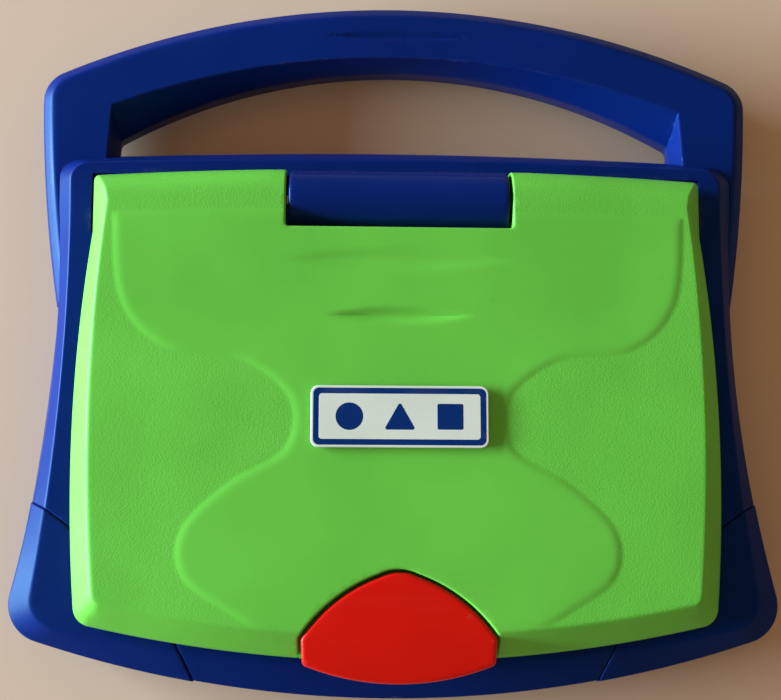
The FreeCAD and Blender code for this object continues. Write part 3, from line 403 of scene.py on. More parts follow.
def plan_mesh(lines, spacing, keep, fine=()):
    """Triangles that follow every closed or open line, with a grid between, where keep says so.

    lines holds (points, closed). fine holds (spacing, test) for places that need a closer grid.
    """
    coords, edges = [], []
    for points, closed in lines:
        first = len(coords)
        coords += [tuple(p) for p in points]
        edges += [(first + i, first + i + 1) for i in range(len(points) - 1)]
        if closed:
            edges.append((len(coords) - 1, first))
    every = np.array(coords)
    low, high = every.min(0), every.max(0)
    for pitch, test in [(spacing, None)] + list(fine):
        x, y = np.meshgrid(np.arange(low[0], high[0], pitch), np.arange(low[1], high[1], pitch * 0.866))
        x = x + (np.arange(len(x)) % 2)[:, None] * pitch / 2
        grid = np.stack([x.ravel(), y.ravel()], 1)
        grid = grid[keep(grid)]
        if test is not None:
            grid = grid[test(grid)]
        coords += [tuple(p) for p in grid]
    verts, _, faces, *_ = delaunay_2d_cdt([Vector(c) for c in coords], edges, [], 0, 1e-3)
    xy = np.array([v[:] for v in verts])
    tri = np.array([f for f in faces if len(f) == 3])
    tri = tri[keep(xy[tri].mean(1))]
    used = np.unique(tri)
    index = np.full(len(xy), -1)
    index[used] = np.arange(len(used))
    return xy[used], index[tri]


def new_object(name, data):
    """An object in the scene."""
    made = bpy.data.objects.new(name, data)
    bpy.context.scene.collection.objects.link(made)
    return made


def mesh_object(name, verts_mm, faces, material, smooth=35.0):
    """A mesh piece from millimetre points."""
    mesh = bpy.data.meshes.new(name)
    mesh.from_pydata([tuple(v) for v in np.asarray(verts_mm) * MM], [], [tuple(map(int, f)) for f in faces])
    mesh.validate()
    mesh.polygons.foreach_set("use_smooth", [True] * len(mesh.polygons))
    mesh.set_sharp_from_angle(angle=math.radians(smooth))
    mesh.materials.append(material)
    return new_object(name, mesh)


def height_solid(name, xy, tri, top, bottom, material):
    """A closed moulding between two height fields, or a field and a flat, over one plan triangulation."""
    n = len(xy)
    verts = np.concatenate([np.column_stack([xy, np.broadcast_to(z, n)]) for z in (top, bottom)])
    ahead = {(int(a), int(b)) for t in tri for a, b in ((t[0], t[1]), (t[1], t[2]), (t[2], t[0]))}
    walls = [(a, a + n, b + n, b) for a, b in ahead if (b, a) not in ahead]
    walls.sort()
    faces = [tuple(t) for t in tri] + [tuple(t[::-1] + n) for t in tri] + walls
    return mesh_object(name, verts, faces, material)


def ringed_solid(name, rings, material, turned=False):
    """A closed piece through rings of points with the same count; turned where they run the other way."""
    count = len(rings[0])
    verts = [point for ring in rings for point in ring]
    faces = [tuple(range(count)), tuple(range(len(verts) - count, len(verts)))[::-1]]
    for a in range(0, len(verts) - count, count):
        b = a + count
        faces += [(a + (j + 1) % count, a + j, b + j, b + (j + 1) % count) for j in range(count)]
    return mesh_object(name, verts, [face[::-1] for face in faces] if turned else faces, material)


def joined(name, pieces):
    """One piece from several mesh pieces, keeping their materials."""
    bpy.ops.object.select_all(action="DESELECT")
    for piece in pieces:
        piece.select_set(True)
    bpy.context.view_layer.objects.active = pieces[0]
    bpy.ops.object.join()
    pieces[0].name = name
    return pieces[0]


def add_attribute(piece, name, values):
    """A number on each point that the material reads."""
    attribute = piece.data.attributes.new(name, "FLOAT", "POINT")
    attribute.data.foreach_set("value", np.asarray(values, np.float32))


WIDEST = bowed_outline(BASE_REAR, BASE_SIDE, BASE_FRONT, BASE_CORNERS)
SHOULDER = bowed_outline(SHOULDER_REAR, SHOULDER_SIDE, SHOULDER_FRONT, SHOULDER_CORNERS)
RIM = bowed_outline(RIM_REAR, RIM_SIDE, RIM_FRONT, RIM_CORNERS)
LID_EDGE = bowed_outline(LID_REAR, LID_SIDE, LID_FRONT, LID_CORNERS, LID_KNEE)
LID_TOP = bowed_outline(TOP_REAR, TOP_SIDE, TOP_FRONT, TOP_CORNERS, TOP_KNEE)
ARCH = arch_outline()
LATCH = latch_outline()
PLATEAU = plateau_outline()
WINDOW = rectangle((-WINDOW_HALF_X, WINDOW_HALF_X), WINDOW_Y, 2.0)


# ---------------------------------------------------------------- materials

class Wiring:
    """Adds shader nodes to the node tree of a material or a world."""

    def __init__(self, owner):
        owner.use_nodes = True
        self.nodes, self.links = owner.node_tree.nodes, owner.node_tree.links

    def put(self, socket, value):
        """Feeds a socket from another node's output, or gives it a plain number or colour."""
        if hasattr(value, "is_linked"):
            self.links.new(value, socket)
        else:
            socket.default_value = (*value, 1.0) if isinstance(value, tuple) else value

    def node(self, kind, **settings):
        made = self.nodes.new("ShaderNode" + kind)
        for key, value in settings.items():
            if key in made.inputs:
                self.put(made.inputs[key], value)
            else:
                setattr(made, key, value)
        return made

    def ramp(self, value, low, high, out_low=0.0, out_high=1.0):
        """value mapped from low..high to out_low..out_high."""
        ends = {"From Min": low, "From Max": high, "To Min": out_low, "To Max": out_high}
        return self.node("MapRange", Value=value, **ends).outputs["Result"]

    def maths(self, operation, a, b):
        made = self.node("Math", operation=operation)
        for socket, value in zip(made.inputs, (a, b)):
            self.put(socket, value)
        return made.outputs["Value"]

    def mix(self, share, a, b):
        """Colour a where share is 0 and b where it is 1."""
        made = self.node("Mix", data_type="RGBA")
        for socket, value in ((made.inputs["Factor"], share), (made.inputs[6], a), (made.inputs[7], b)):
            self.put(socket, value)
        return made.outputs[2]


class Paint(Wiring):
    """A material, whose patterns are laid out in the piece's own coordinates."""

    def __init__(self, name):
        self.material = bpy.data.materials.new(name)
        super().__init__(self.material)
        self.coords = self.node("TexCoord").outputs["Object"]

    def noise(self, size_mm, detail=2.0, roughness=0.5, stretch=None):
        """Noise whose features are about size_mm across."""
        source = self.coords
        if stretch:
            mapping = self.node("Mapping", Vector=source)
            mapping.inputs["Scale"].default_value = stretch
            mapping.inputs["Rotation"].default_value = (0.0, 0.0, 0.6)
            source = mapping.outputs["Vector"]
        made = self.node("TexNoise", Vector=source, Scale=1000.0 / size_mm, Detail=detail)
        self.put(made.inputs["Roughness"], roughness)
        return made.outputs["Fac"]

    def finish(self, color, roughness, height=None, bump_strength=1.0, bump_distance=1e-6, **others):
        """The material, with these values or patterns on its shader."""
        shader = self.nodes["Principled BSDF"]
        self.put(shader.inputs["Base Color"], color)
        self.put(shader.inputs["Roughness"], roughness)
        if height:
            bump = self.node("Bump", Height=height, Strength=bump_strength, Distance=bump_distance)
            self.put(shader.inputs["Normal"], bump.outputs["Normal"])
        for name, value in others.items():
            self.put(shader.inputs[name.replace("_", " ")], value)
        return self.material


def shade(color, factor):
    """The colour made darker or lighter."""
    return tuple(min(1.0, c * factor) for c in color)


def moulded(name, color, roughness, grain_mm=0.9, grain_um=12.0, wear=0.25, dust=0.0, sand=None,
            sand_um=60.0, specular=0.5, sheen=(1.0, 1.0, 1.0)):
    """Injection-moulded plastic: faint colour drift, satin grain, fine scratches, pale worn edges.

    grain_um is the height of the all-over grain, sand names a point attribute that says where the
    coarse sand texture lies, and sheen is the colour of the gloss.
    """
    paint = Paint(name)
    drift = paint.ramp(paint.noise(55.0, 3.0), 0.35, 0.65)
    body = paint.mix(drift, shade(color, 0.93), shade(color, 1.06))
    edges = paint.ramp(paint.node("NewGeometry").outputs["Pointiness"], 0.515, 0.60)
    rubbed = paint.maths("MULTIPLY", edges, paint.ramp(paint.noise(9.0, 4.0), 0.42, 0.68))
    pale = tuple(0.62 * c + 0.16 for c in color)
    body = paint.mix(paint.maths("MULTIPLY", rubbed, wear), body, pale)
    if dust:
        specks = paint.ramp(paint.noise(1.7, 2.0, 0.7), 0.735, 0.76, 0.0, dust)
        body = paint.mix(specks, body, shade(color, 0.35))
    scratches = paint.ramp(paint.noise(6.0, 5.0, 0.6, stretch=(0.06, 1.0, 1.0)), 0.62, 0.66)
    rough = paint.ramp(paint.noise(28.0, 4.0), 0.3, 0.7, roughness - 0.05, roughness + 0.06)
    rough = paint.maths("ADD", rough, paint.maths("MULTIPLY", scratches, 0.08))
    height = paint.maths("MULTIPLY", paint.noise(grain_mm, 2.0, 0.6), grain_um)
    if sand:
        where = paint.node("Attribute", attribute_name=sand).outputs["Fac"]
        lift = paint.maths("MULTIPLY", paint.noise(0.68, 3.0, 0.6), where)
        height = paint.maths("ADD", height, paint.maths("MULTIPLY", lift, sand_um))
        rough = paint.maths("ADD", rough, paint.maths("MULTIPLY", where, 0.10))
    height = paint.maths("SUBTRACT", height, paint.maths("MULTIPLY", scratches, 5.0))
    return paint.finish(body, rough, height, Specular_IOR_Level=specular, Specular_Tint=sheen)


NAVY = (0.0018, 0.0130, 0.135)
LIME = (0.143, 0.530, 0.058)
RED = (0.68, 0.0055, 0.0022)
BLUE_SHEEN = (0.20, 0.62, 0.90)

blue = moulded("navy_plastic", NAVY, 0.38, grain_mm=0.8, grain_um=9.0, wear=0.30, dust=0.25, specular=0.16,
               sheen=BLUE_SHEEN)
blue_cap = moulded("navy_cap_plastic", NAVY, 0.45, grain_mm=1.1, grain_um=26.0, wear=0.35, dust=0.25,
                   specular=0.16, sheen=BLUE_SHEEN)
lime = moulded("lime_plastic", LIME, 0.34, grain_mm=1.0, grain_um=5.0, wear=0.18, dust=0.35, sand="sand",
               sand_um=78.0, specular=0.22, sheen=(0.6, 0.95, 1.0))
red = moulded("red_plastic", RED, 0.30, grain_mm=1.2, grain_um=3.0, wear=0.15, dust=0.2, specular=0.3,
              sheen=(1.0, 0.6, 0.55))


# ---------------------------------------------------------------- base

def wall_height(xy, proud=0.0):
    """The base's side wall, which leans in from the parting line up to the shoulder."""
    outer, shoulder = WIDEST.depth(xy) + proud, SHOULDER.depth(xy) + proud
    return PARTING_Z + (HANDLE_TOP_Z - PARTING_Z) * outer / np.maximum(outer - shoulder, 0.2)


def base_height(xy, proud=0.0):
    """The upper mouldings' outside: the side wall, then a bevel in to the flat rim."""
    shoulder, inner = SHOULDER.depth(xy) + proud, RIM.depth(xy) + proud
    bevel = HANDLE_TOP_Z + (RIM_Z - HANDLE_TOP_Z) * shoulder / np.maximum(shoulder - inner, 0.5)
    return soft_min(soft_min(wall_height(xy, proud), bevel, 0.7), RIM_Z, 0.6)


def trough_height(xy):
    """The hinge trough's floor, far above everything outside the trough."""
    reach = np.clip(TROUGH ** 2 - (xy[:, 1] - HINGE_Y) ** 2, 0, None)
    floor = HINGE_Z - np.sqrt(reach)
    inside = (np.abs(xy[:, 0]) < TROUGH_END_X) & (reach > 0)
    return np.where(inside, floor, 1e3)


def upper_case():
    """Rim and bevels with the keyboard window, the hinge trough and the hook slot."""
    outer = WIDEST.inset(0.3)
    seat_half = BLOCK_BARREL + SEAM / 2
    seat = rectangle((-BLOCK_HALF - SEAM, BLOCK_HALF + SEAM), (HINGE_Y - seat_half, HINGE_Y + seat_half))
    slot = rectangle((-HOOK_SLOT_HALF, HOOK_SLOT_HALF), HOOK_SLOT_Y, 0.8, 0.6)
    wedges = [cap_wedge(side) for side in (-1, 1)]

    def depths(xy):
        return (outer.depth(xy), -WINDOW.depth(xy), -seat.depth(xy), -slot.depth(xy),
                -wedges[0].depth(xy) - SEAM / 2, -wedges[1].depth(xy) - SEAM / 2)

    def keep(xy):
        return np.min(depths(xy), axis=0) > 0

    rings = outer.loops(*EDGE_RINGS) + SHOULDER.loops(*SHOULDER_RINGS) + RIM.loops(*RIM_RINGS)
    rings += WINDOW.loops_out(*edge_rings(WINDOW_ROUND, 4)) + slot.loops_out(*edge_rings(SLOT_ROUND, 3))
    rings += seat.loops(0.0)
    for wedge in wedges:
        rings += wedge.loops_out(*[SEAM / 2 + d for d in edge_rings(SEAM_ROUND, 4)])
    lip = math.sqrt(TROUGH ** 2 - (HINGE_Z - RIM_Z) ** 2)
    for side in (-1, 1):
        for x in (TROUGH_END_X - STEEP, TROUGH_END_X + STEEP):
            rings.append((line((side * x, HINGE_Y - lip), (side * x, HINGE_Y + lip)), False))
        for angle in np.linspace(-1, 1, 25):
            y = HINGE_Y + lip * math.sin(angle * math.pi / 2)
            rings.append((line((side * seat.points[:, 0].max(), y), (side * TROUGH_END_X, y)), False))
    xy, tri = plan_mesh(rings, 3.0, keep)
    out, win, _, cut, left, right = depths(xy)
    top = np.minimum(base_height(xy), trough_height(xy))
    top -= drop(win, WINDOW_ROUND) + drop(cut, SLOT_ROUND) + drop(left, SEAM_ROUND) + drop(right, SEAM_ROUND)
    bottom = PARTING_Z + 0.1 + drop(out, 0.3)
    return height_solid("rim_moulding", xy, tri, np.maximum(top, bottom + 0.4), bottom, blue)


def corner_cap(side):
    """A moulding that wraps a front corner and stands a little proud of the rim."""
    outer = WIDEST.inset(0.3 - CAP_PROUD)
    wedge = cap_wedge(side)

    def depths(xy):
        return outer.depth(xy), wedge.depth(xy) - SEAM / 2

    def keep(xy):
        return (np.min(depths(xy), axis=0) > 0) & (WINDOW.depth(xy) < -WINDOW_MARGIN)

    rings = outer.loops(*EDGE_RINGS)
    rings += SHOULDER.loops(*[d - CAP_PROUD for d in SHOULDER_RINGS])
    rings += RIM.loops(*[d - CAP_PROUD for d in RIM_RINGS])
    rings += wedge.loops(*[SEAM / 2 + d for d in edge_rings(CAP_ROUND, 5)])
    rings += WINDOW.loops_out(WINDOW_MARGIN)
    xy, tri = plan_mesh(rings, 3.0, keep)
    out, seam = depths(xy)
    top = base_height(xy, CAP_PROUD) - drop(seam, CAP_ROUND)
    bottom = PARTING_Z + 0.1 + drop(out, 0.3)
    name = "front_cap_left" if side < 0 else "front_cap_right"
    return height_solid(name, xy, tri, np.maximum(top, bottom + 0.4), bottom, blue_cap)


# ---------------------------------------------------------------- carrying arch

def arch_half(name, room, shape):
    """One half of the arch outside the room outline, between the two height fields of shape."""
    low, high = grip_outline(*GRIP_LOW), grip_outline(*GRIP_TOP)

    def keep(xy):
        clear = np.minimum(ARCH.depth(xy), -low.depth(xy))
        return (np.minimum(clear, -room.depth(xy)) > 0) & (xy[:, 1] > LEG_TIP_Y)

    bevel_end = ARCH_DRAFT + ARCH_BEVEL
    outer_rings = [0.0, 0.2, 0.5, ARCH_DRAFT - 0.5] + [ARCH_DRAFT + d for d in (-0.2, 0.0, 0.2, 0.6)]
    outer_rings += [bevel_end + d for d in (-2.0, -0.6, -0.3, 0.0, 0.3, 0.7, 1.8)]
    rings = ARCH.loops(*outer_rings)
    rings += low.loops_out(0.0, 0.15, 0.4, 0.8, 1.3, 1.9) + high.loops(0.8, 0.4, 0.0, -0.4, -0.8, -1.5)
    rings += room.loops_out(0.0, 0.1, 0.25, 0.5, 1.2)
    rings.append((line((-150, LEG_TIP_Y), (150, LEG_TIP_Y)), False))
    for crease in (line(GRIP_LOW[:2], GRIP_TOP[:2]), line(mirrored(GRIP_LOW), mirrored(GRIP_TOP))):
        rings.append((crease, False))
    xy, tri = plan_mesh(rings, 2.4, keep, [(1.0, lambda p: lens_depth(p, *GRIP_LENS) > -2)])
    top, bottom = shape(xy, ARCH.depth(xy), -low.depth(xy), -room.depth(xy))
    return height_solid(name, xy, tri, top, np.minimum(bottom, top - 0.2), blue)


def grip_share(xy):
    """0 along the grip's lower edge and 1 along its upper edge: flat ends and a curved rear."""
    x, y = np.abs(xy[:, 0]), xy[:, 1]

    def side_x(grip):
        corner_x, corner_y, _, foot_x = grip
        return corner_x + (foot_x - corner_x) * (corner_y - y) / (corner_y - GRIP_INSIDE_Y)

    def rear_y(grip):
        corner_x, corner_y, middle_y, _ = grip
        rise = middle_y - corner_y
        radius = (corner_x ** 2 + rise ** 2) / (2 * rise)
        return middle_y - radius + np.sqrt(np.clip(radius ** 2 - x ** 2, 1, None))

    end = (x - side_x(GRIP_LOW)) / (side_x(GRIP_TOP) - side_x(GRIP_LOW))
    rear = (y - rear_y(GRIP_LOW)) / (rear_y(GRIP_TOP) - rear_y(GRIP_LOW))
    return -soft_min(-end, -rear, 0.06)


def arch_edge(outer, half_height):
    """Height of the arch's outer side above the split: a leaning wall, then a bevel."""
    wall = (half_height - ARCH_BEVEL_HEIGHT) * outer / ARCH_DRAFT
    bevel = half_height - ARCH_BEVEL_HEIGHT * (1 - (outer - ARCH_DRAFT) / ARCH_BEVEL)
    return soft_min(soft_min(wall, bevel, 0.6), half_height, 1.0)


def upper_half(xy, outer, low, base):
    """Top and bottom of the arch's upper half, from depths inside the arch, the grip and the base."""
    slope = GRIP_SLOPE_END_Z + (HANDLE_TOP_Z - GRIP_SLOPE_END_Z) * grip_share(xy)
    edge = HANDLE_SPLIT_Z + arch_edge(outer, HANDLE_TOP_Z - HANDLE_SPLIT_Z)
    top = soft_min(slope, edge, 0.6)
    top -= GRIP_LENS_DEPTH * bowl(lens_depth(xy, *GRIP_LENS), GRIP_LENS[2] / 2)
    top -= drop(low, 0.8) + drop(base, 0.2) + drop(xy[:, 1] - LEG_TIP_Y, 0.5)
    beside_base = np.where(WIDEST.depth(xy) > 0, wall_height(xy) + SEAM, 0)
    bottom = np.maximum(HANDLE_SPLIT_Z + 0.08 + drop(np.minimum(outer, low), 0.3), beside_base)
    return np.maximum(top, HANDLE_SPLIT_Z + 0.6), bottom


def lower_half(xy, outer, low, base):
    """Top and bottom of the arch's lower half; it meets the base on its plain side wall."""
    top = HANDLE_SPLIT_Z - 0.08 - drop(np.minimum(outer, low), 0.3)
    edge = arch_edge(outer, HANDLE_SPLIT_Z - HANDLE_BOTTOM_Z)
    bottom = HANDLE_SPLIT_Z - edge + drop(xy[:, 1] - LEG_TIP_Y, 1.2)
    lean = (HANDLE_SPLIT_Z - HANDLE_BOTTOM_Z - 1.0) * np.clip(1 - low / GRIP_DRAFT, 0, 1)
    return top, np.maximum(bottom, HANDLE_BOTTOM_Z + lean)


def carrying_arch():
    """The two halves of the arch, with a fine parting line between them, tight against the base."""
    return (arch_half("arch_upper_moulding", SHOULDER.inset(0.35), upper_half),
            arch_half("arch_lower_moulding", WIDEST.inset(0.1), lower_half))


# ---------------------------------------------------------------- lid

def rear_bow(x):
    """How far ahead of the hinge barrel's rear the lid's bowed rear edge lies."""
    edge = LID_REAR[2] - (LID_REAR[2] - LID_REAR[1]) * (x / LID_REAR[0]) ** 2
    return np.clip(HINGE_Y + LID_BARREL - edge, 0, None)


def lid_height(xy):
    """The lid's outside, without its openings."""
    edge, top_edge = LID_EDGE.depth(xy), LID_TOP.depth(xy)
    share = edge / np.maximum(edge - top_edge, 0.5)
    bevel = LID_BEVEL_Z + (LID_TOP_Z - LID_BEVEL_Z) * share
    height = soft_min(bevel, LID_TOP_Z, 1.4)
    raised = (PLATEAU_Z - LID_TOP_Z) * roll_up(PLATEAU.depth(xy), *PLATEAU_ROLL)
    front_fade = step_up(LID_TOP.depth(xy), -1.0, 6.0)
    height = height + raised * front_fade
    for sizes, deep in zip(LENSES, LENS_DEPTHS):
        height -= deep * bowl(lens_depth(xy, *sizes), sizes[2] / 2)
    behind = np.clip(xy[:, 1] + rear_bow(xy[:, 0]) - HINGE_Y, 0, None)
    reach = np.clip(LID_BARREL ** 2 - behind ** 2, 0, None)
    return soft_min(height, HINGE_Z + np.sqrt(reach) - 0.3, 0.9)


def lid_moulding():
    """The lid's outer shell with the hinge notch, the latch pocket and its hook slot."""
    rear = HINGE_Y + LID_BARREL - 0.06
    edge = Outline(np.minimum(LID_EDGE.points, [1e3, rear]))
    notch = rectangle((-NOTCH_HALF, NOTCH_HALF), (NOTCH_FRONT_Y, 90.0), 1.6, 0.8)
    pocket = LATCH.inset(-LATCH_GAP)
    slot = rectangle((-HOOK_SLOT_HALF, HOOK_SLOT_HALF), (HOOK_SLOT_Y[0] + 1, HOOK_SLOT_Y[1]))

    def keep(xy):
        outside = np.maximum(notch.depth(xy), slot.depth(xy))
        return (edge.depth(xy) > 0) & (outside < 0)

    rings = edge.loops(*edge_rings(LID_ROUND), 1.9, LID_WALL - STEEP, LID_WALL + STEEP, 3.2)
    rings += LID_TOP.loops(-1.4, -0.9, -0.45, 0.0, 0.5, 1.1, 2.0, 3.0)
    rings += notch.loops_out(*edge_rings(NOTCH_ROUND, 5))
    rings += pocket.loops(STEEP) + pocket.loops_out(STEEP, *edge_rings(NOTCH_ROUND, 5)[1:])
    rings += slot.loops(0.0)
    for y in list(np.linspace(HINGE_Y, rear - 2.2, 14)) + [rear - 1.4, rear - 0.8, rear - 0.4, rear - 0.15]:
        along = line((-122, y), (122, y))
        along[:, 1] -= rear_bow(along[:, 0])
        rings.append((along, False))
    rings += PLATEAU.loops(PLATEAU_ROLL[0] - 0.5, PLATEAU_ROLL[0], -1.2)

    def detailed(xy):
        near_field = np.abs(PLATEAU.depth(xy) - 0.7) < 4.0
        hollows = np.maximum(*[lens_depth(xy, *sizes) for sizes in LENSES]) > -2
        return near_field | hollows

    xy, tri = plan_mesh(rings, 2.6, keep, [(1.3, detailed)])
    inside, cut, well = edge.depth(xy), -notch.depth(xy), -pocket.depth(xy)
    outside = lid_height(xy) - drop(inside, LID_ROUND) - drop(cut, NOTCH_ROUND)
    outside -= drop(np.clip(well, 0, None), NOTCH_ROUND)
    top = np.where(well > 0, outside, POCKET_FLOOR_Z)
    wall = np.minimum(inside, cut) < LID_WALL
    bottom = np.where(wall, LID_BOTTOM_Z, np.minimum(46.0, top - 1.8))
    piece = height_solid("lid_moulding", xy, tri, top, bottom, lime)
    smooth_field = step_up(PLATEAU.depth(xy), -1.9, -0.6) * step_up(LID_TOP.depth(xy), 0.0, 3.0)
    bevels = 1 - step_up(LID_TOP.depth(xy), -1.5, 0.5)
    sand = np.clip(1 - smooth_field - 0.65 * bevels, 0.12, 1)
    add_attribute(piece, "sand", np.concatenate([sand, np.zeros(len(xy))]))
    parts = [piece]
    for side in (-1, 1):
        parts.append(lug("lid_lug", side, LID_LUG, POCKET_FLOOR_Z - 0.2, False, lime))
        parts.append(knuckle(side))
    return joined("lid_moulding", parts)


def knuckle(side):
    """The solid end of the lid's barrel that turns on the hinge pin."""
    steps = [(KNUCKLE_RADIUS - 0.5, 0.0), (KNUCKLE_RADIUS, 0.5), (KNUCKLE_RADIUS, KNUCKLE_LENGTH)]
    angles = np.linspace(0, 2 * math.pi, 40, endpoint=False)
    rings = []
    for radius, reach in steps:
        x = side * (NOTCH_HALF + 0.2 + reach)
        rings.append([(x, HINGE_Y + radius * math.cos(a), HINGE_Z + radius * math.sin(a)) for a in angles])
    return ringed_solid("lid_knuckle", rings, lime, turned=side > 0)


def latch():
    """The red clasp: a crowned tongue that slopes down to its lip, with a hook below."""
    xy, tri = plan_mesh(LATCH.loops(*edge_rings(LATCH_EDGE), 2.2, 3.5), 1.6, LATCH.holds)
    ahead = np.clip(LATCH_FLAT_END_Y - xy[:, 1], 0, None) / (LATCH_FLAT_END_Y - LATCH_FRONT_Y)
    behind = np.clip(xy[:, 1] - LATCH_FLAT_END_Y, 0, None)
    top = LATCH_TOP_Z - (LATCH_TOP_Z - LATCH_LIP_TOP_Z) * ahead ** 1.7 - 0.0009 * behind ** 2
    top -= 0.5 * (xy[:, 0] / LATCH_SHOULDER[0]) ** 2 + drop(LATCH.depth(xy), LATCH_EDGE)
    bottom = LATCH_UNDER_Z - (LATCH_UNDER_Z - LATCH_LIP_UNDER_Z) * ahead
    parts = [height_solid("latch_tongue", xy, tri, top, np.minimum(bottom, top - 0.6), red)]
    hook = rectangle((-HOOK_HALF, HOOK_HALF), HOOK_Y, 0.5, 0.4)
    hook_xy, hook_tri = plan_mesh(hook.loops(0.0, 0.1, 0.3), 1.0, hook.holds)
    tip = HOOK_TIP_Z + drop(hook.depth(hook_xy), 0.35)
    parts.append(height_solid("hook", hook_xy, hook_tri, LATCH_UNDER_Z + 0.2, tip, red))
    for side in (-1, 1):
        parts.append(lug("tongue_lug", side, LATCH_LUG, LATCH_UNDER_Z + 0.2, True, red))
    return joined("latch_tongue", parts)


def lug(name, side, x, far_z, hanging, material):
    """A flat upright with a round end on the latch pin, rising or hanging."""
    y, z = LATCH_PIVOT
    ends = sorted((side * x[0], side * x[1]))
    spans = [(line((ends[0], y + dy), (ends[1], y + dy)), False)
             for dy in LUG_RADIUS * np.sin(np.linspace(-1, 1, 13) * math.pi / 2)]
    low, high = (ends[0], y - LUG_RADIUS), (ends[1], y + LUG_RADIUS)
    xy, tri = plan_mesh(spans, 1.0, lambda p: ((p > low) & (p < high)).all(1))
    bow = np.sqrt(np.clip(LUG_RADIUS ** 2 - (xy[:, 1] - y) ** 2, 0, None))
    if hanging:
        return height_solid(name, xy, tri, far_z, z - bow, material)
    return height_solid(name, xy, tri, z + bow, far_z, material)


def hinge_block():
    """The middle knuckle: a barrel on a straight foot, with round ends."""
    ends = [BLOCK_HALF - d for d in edge_rings(BLOCK_END_ROUND)]
    xs = [-x for x in ends] + list(np.linspace(-BLOCK_HALF + 3, BLOCK_HALF - 3, 24)) + ends[::-1]
    angles = np.radians(np.linspace(180, 0, 49))
    groove_angle, groove_width, groove_depth = 33, 2.2, 0.35
    rings = []
    for x in xs:
        radius = BLOCK_BARREL - float(drop(BLOCK_HALF - abs(x), BLOCK_END_ROUND))
        ring = [(x, HINGE_Y - radius, BLOCK_FOOT_Z)]
        for angle in angles:
            groove = groove_depth * math.exp(-((math.degrees(angle) - groove_angle) / groove_width) ** 2)
            r = radius - groove
            ring.append((x, HINGE_Y + r * math.cos(angle), HINGE_Z + r * math.sin(angle)))
        rings.append(ring + [(x, HINGE_Y + radius, BLOCK_FOOT_Z)])
    return ringed_solid("hinge_barrel_middle", rings, blue_gloss)


def badge():
    """A plain label plate: blue border, cream field, and a circle, a triangle and a square."""
    half_x, half_y = BADGE_SIZE[0] / 2, BADGE_SIZE[1] / 2
    layers = []

    def slab(outline, low, high, rounding, material):
        rings = outline.loops(*edge_rings(rounding, 3), rounding + 0.12)
        xy, tri = plan_mesh(rings, 2.5, outline.holds)
        top = high - drop(outline.depth(xy), rounding)
        layers.append(height_solid("layer", xy, tri, top, low, material))

    def plate(margin, radius):
        x, y = half_x - margin, half_y - margin
        return rectangle((-x, x), (BADGE_MID_Y - y, BADGE_MID_Y + y), radius, 0.5)

    slab(plate(0.0, BADGE_RADIUS), PLATEAU_Z - 0.2, BADGE_TOP_Z - 0.08, 0.25, cream)
    slab(plate(0.9, BADGE_RADIUS - 0.7), BADGE_TOP_Z - 0.2, BADGE_TOP_Z - 0.06, 0.04, badge_blue)
    slab(plate(3.1, BADGE_RADIUS - 1.8), BADGE_TOP_Z - 0.2, BADGE_TOP_Z - 0.04, 0.03, cream)
    turn = np.radians(np.linspace(0, -360, 48, endpoint=False))
    circle = np.stack([np.cos(turn), np.sin(turn)], 1) * 5.2
    triangle = [(-6.0, -5.0), (0.0, 5.6), (6.0, -5.0)]
    square = [(-4.9, 4.9), (4.9, 4.9), (4.9, -4.9), (-4.9, -4.9)]
    for shape, x in ((circle, -19.0), (triangle, 0.0), (square, 19.0)):
        points = [(px + x, py + BADGE_MID_Y) for px, py in shape]
        outline = Outline(points) if len(points) > 8 else rounded(
            [line(a, b, 0.4) for a, b in zip(points, points[1:] + points[:1])], 0.7)
        slab(outline, BADGE_TOP_Z - 0.2, BADGE_TOP_Z - 0.02, 0.03, badge_blue)
    return joined("badge_plate", layers)


# ---------------------------------------------------------------- keys and screen

def rounded_ring(middle, half, radius, z, corner_points=6):
    """Points round a rectangle with round corners, the same count for every size."""
    radius = min(radius, half[0], half[1])
    points = []
    for sx, sy, start in ((1, 1, 90), (1, -1, 0), (-1, -1, -90), (-1, 1, -180)):
        centre = (middle[0] + sx * (half[0] - radius), middle[1] + sy * (half[1] - radius))
        for k in range(corner_points):
            angle = math.radians(start - 90 * k / (corner_points - 1))
            points.append((centre[0] + radius * math.cos(angle), centre[1] + radius * math.sin(angle), z))
    return points


def lettering(name, text, height, place, material, flip=False):
    """Flat printed characters, height millimetres tall, centred on place."""
    curve = bpy.data.curves.new(name, "FONT")
    curve.body, curve.align_x, curve.align_y = text, "CENTER", "CENTER"
    curve.size = height * 1.38 * MM
    curve.extrude = 0.02 * MM
    curve.resolution_u = 4
    source = new_object(name + "_curve", curve)
    bpy.context.view_layer.update()
    mesh = bpy.data.meshes.new_from_object(source)
    bpy.data.objects.remove(source)
    turn = Matrix.Rotation(math.pi, 4, "X") if flip else Matrix.Identity(4)
    mesh.transform(Matrix.Translation(Vector(place) * MM) @ turn)
    mesh.materials.clear()
    mesh.materials.append(material)
    return new_object(name, mesh)


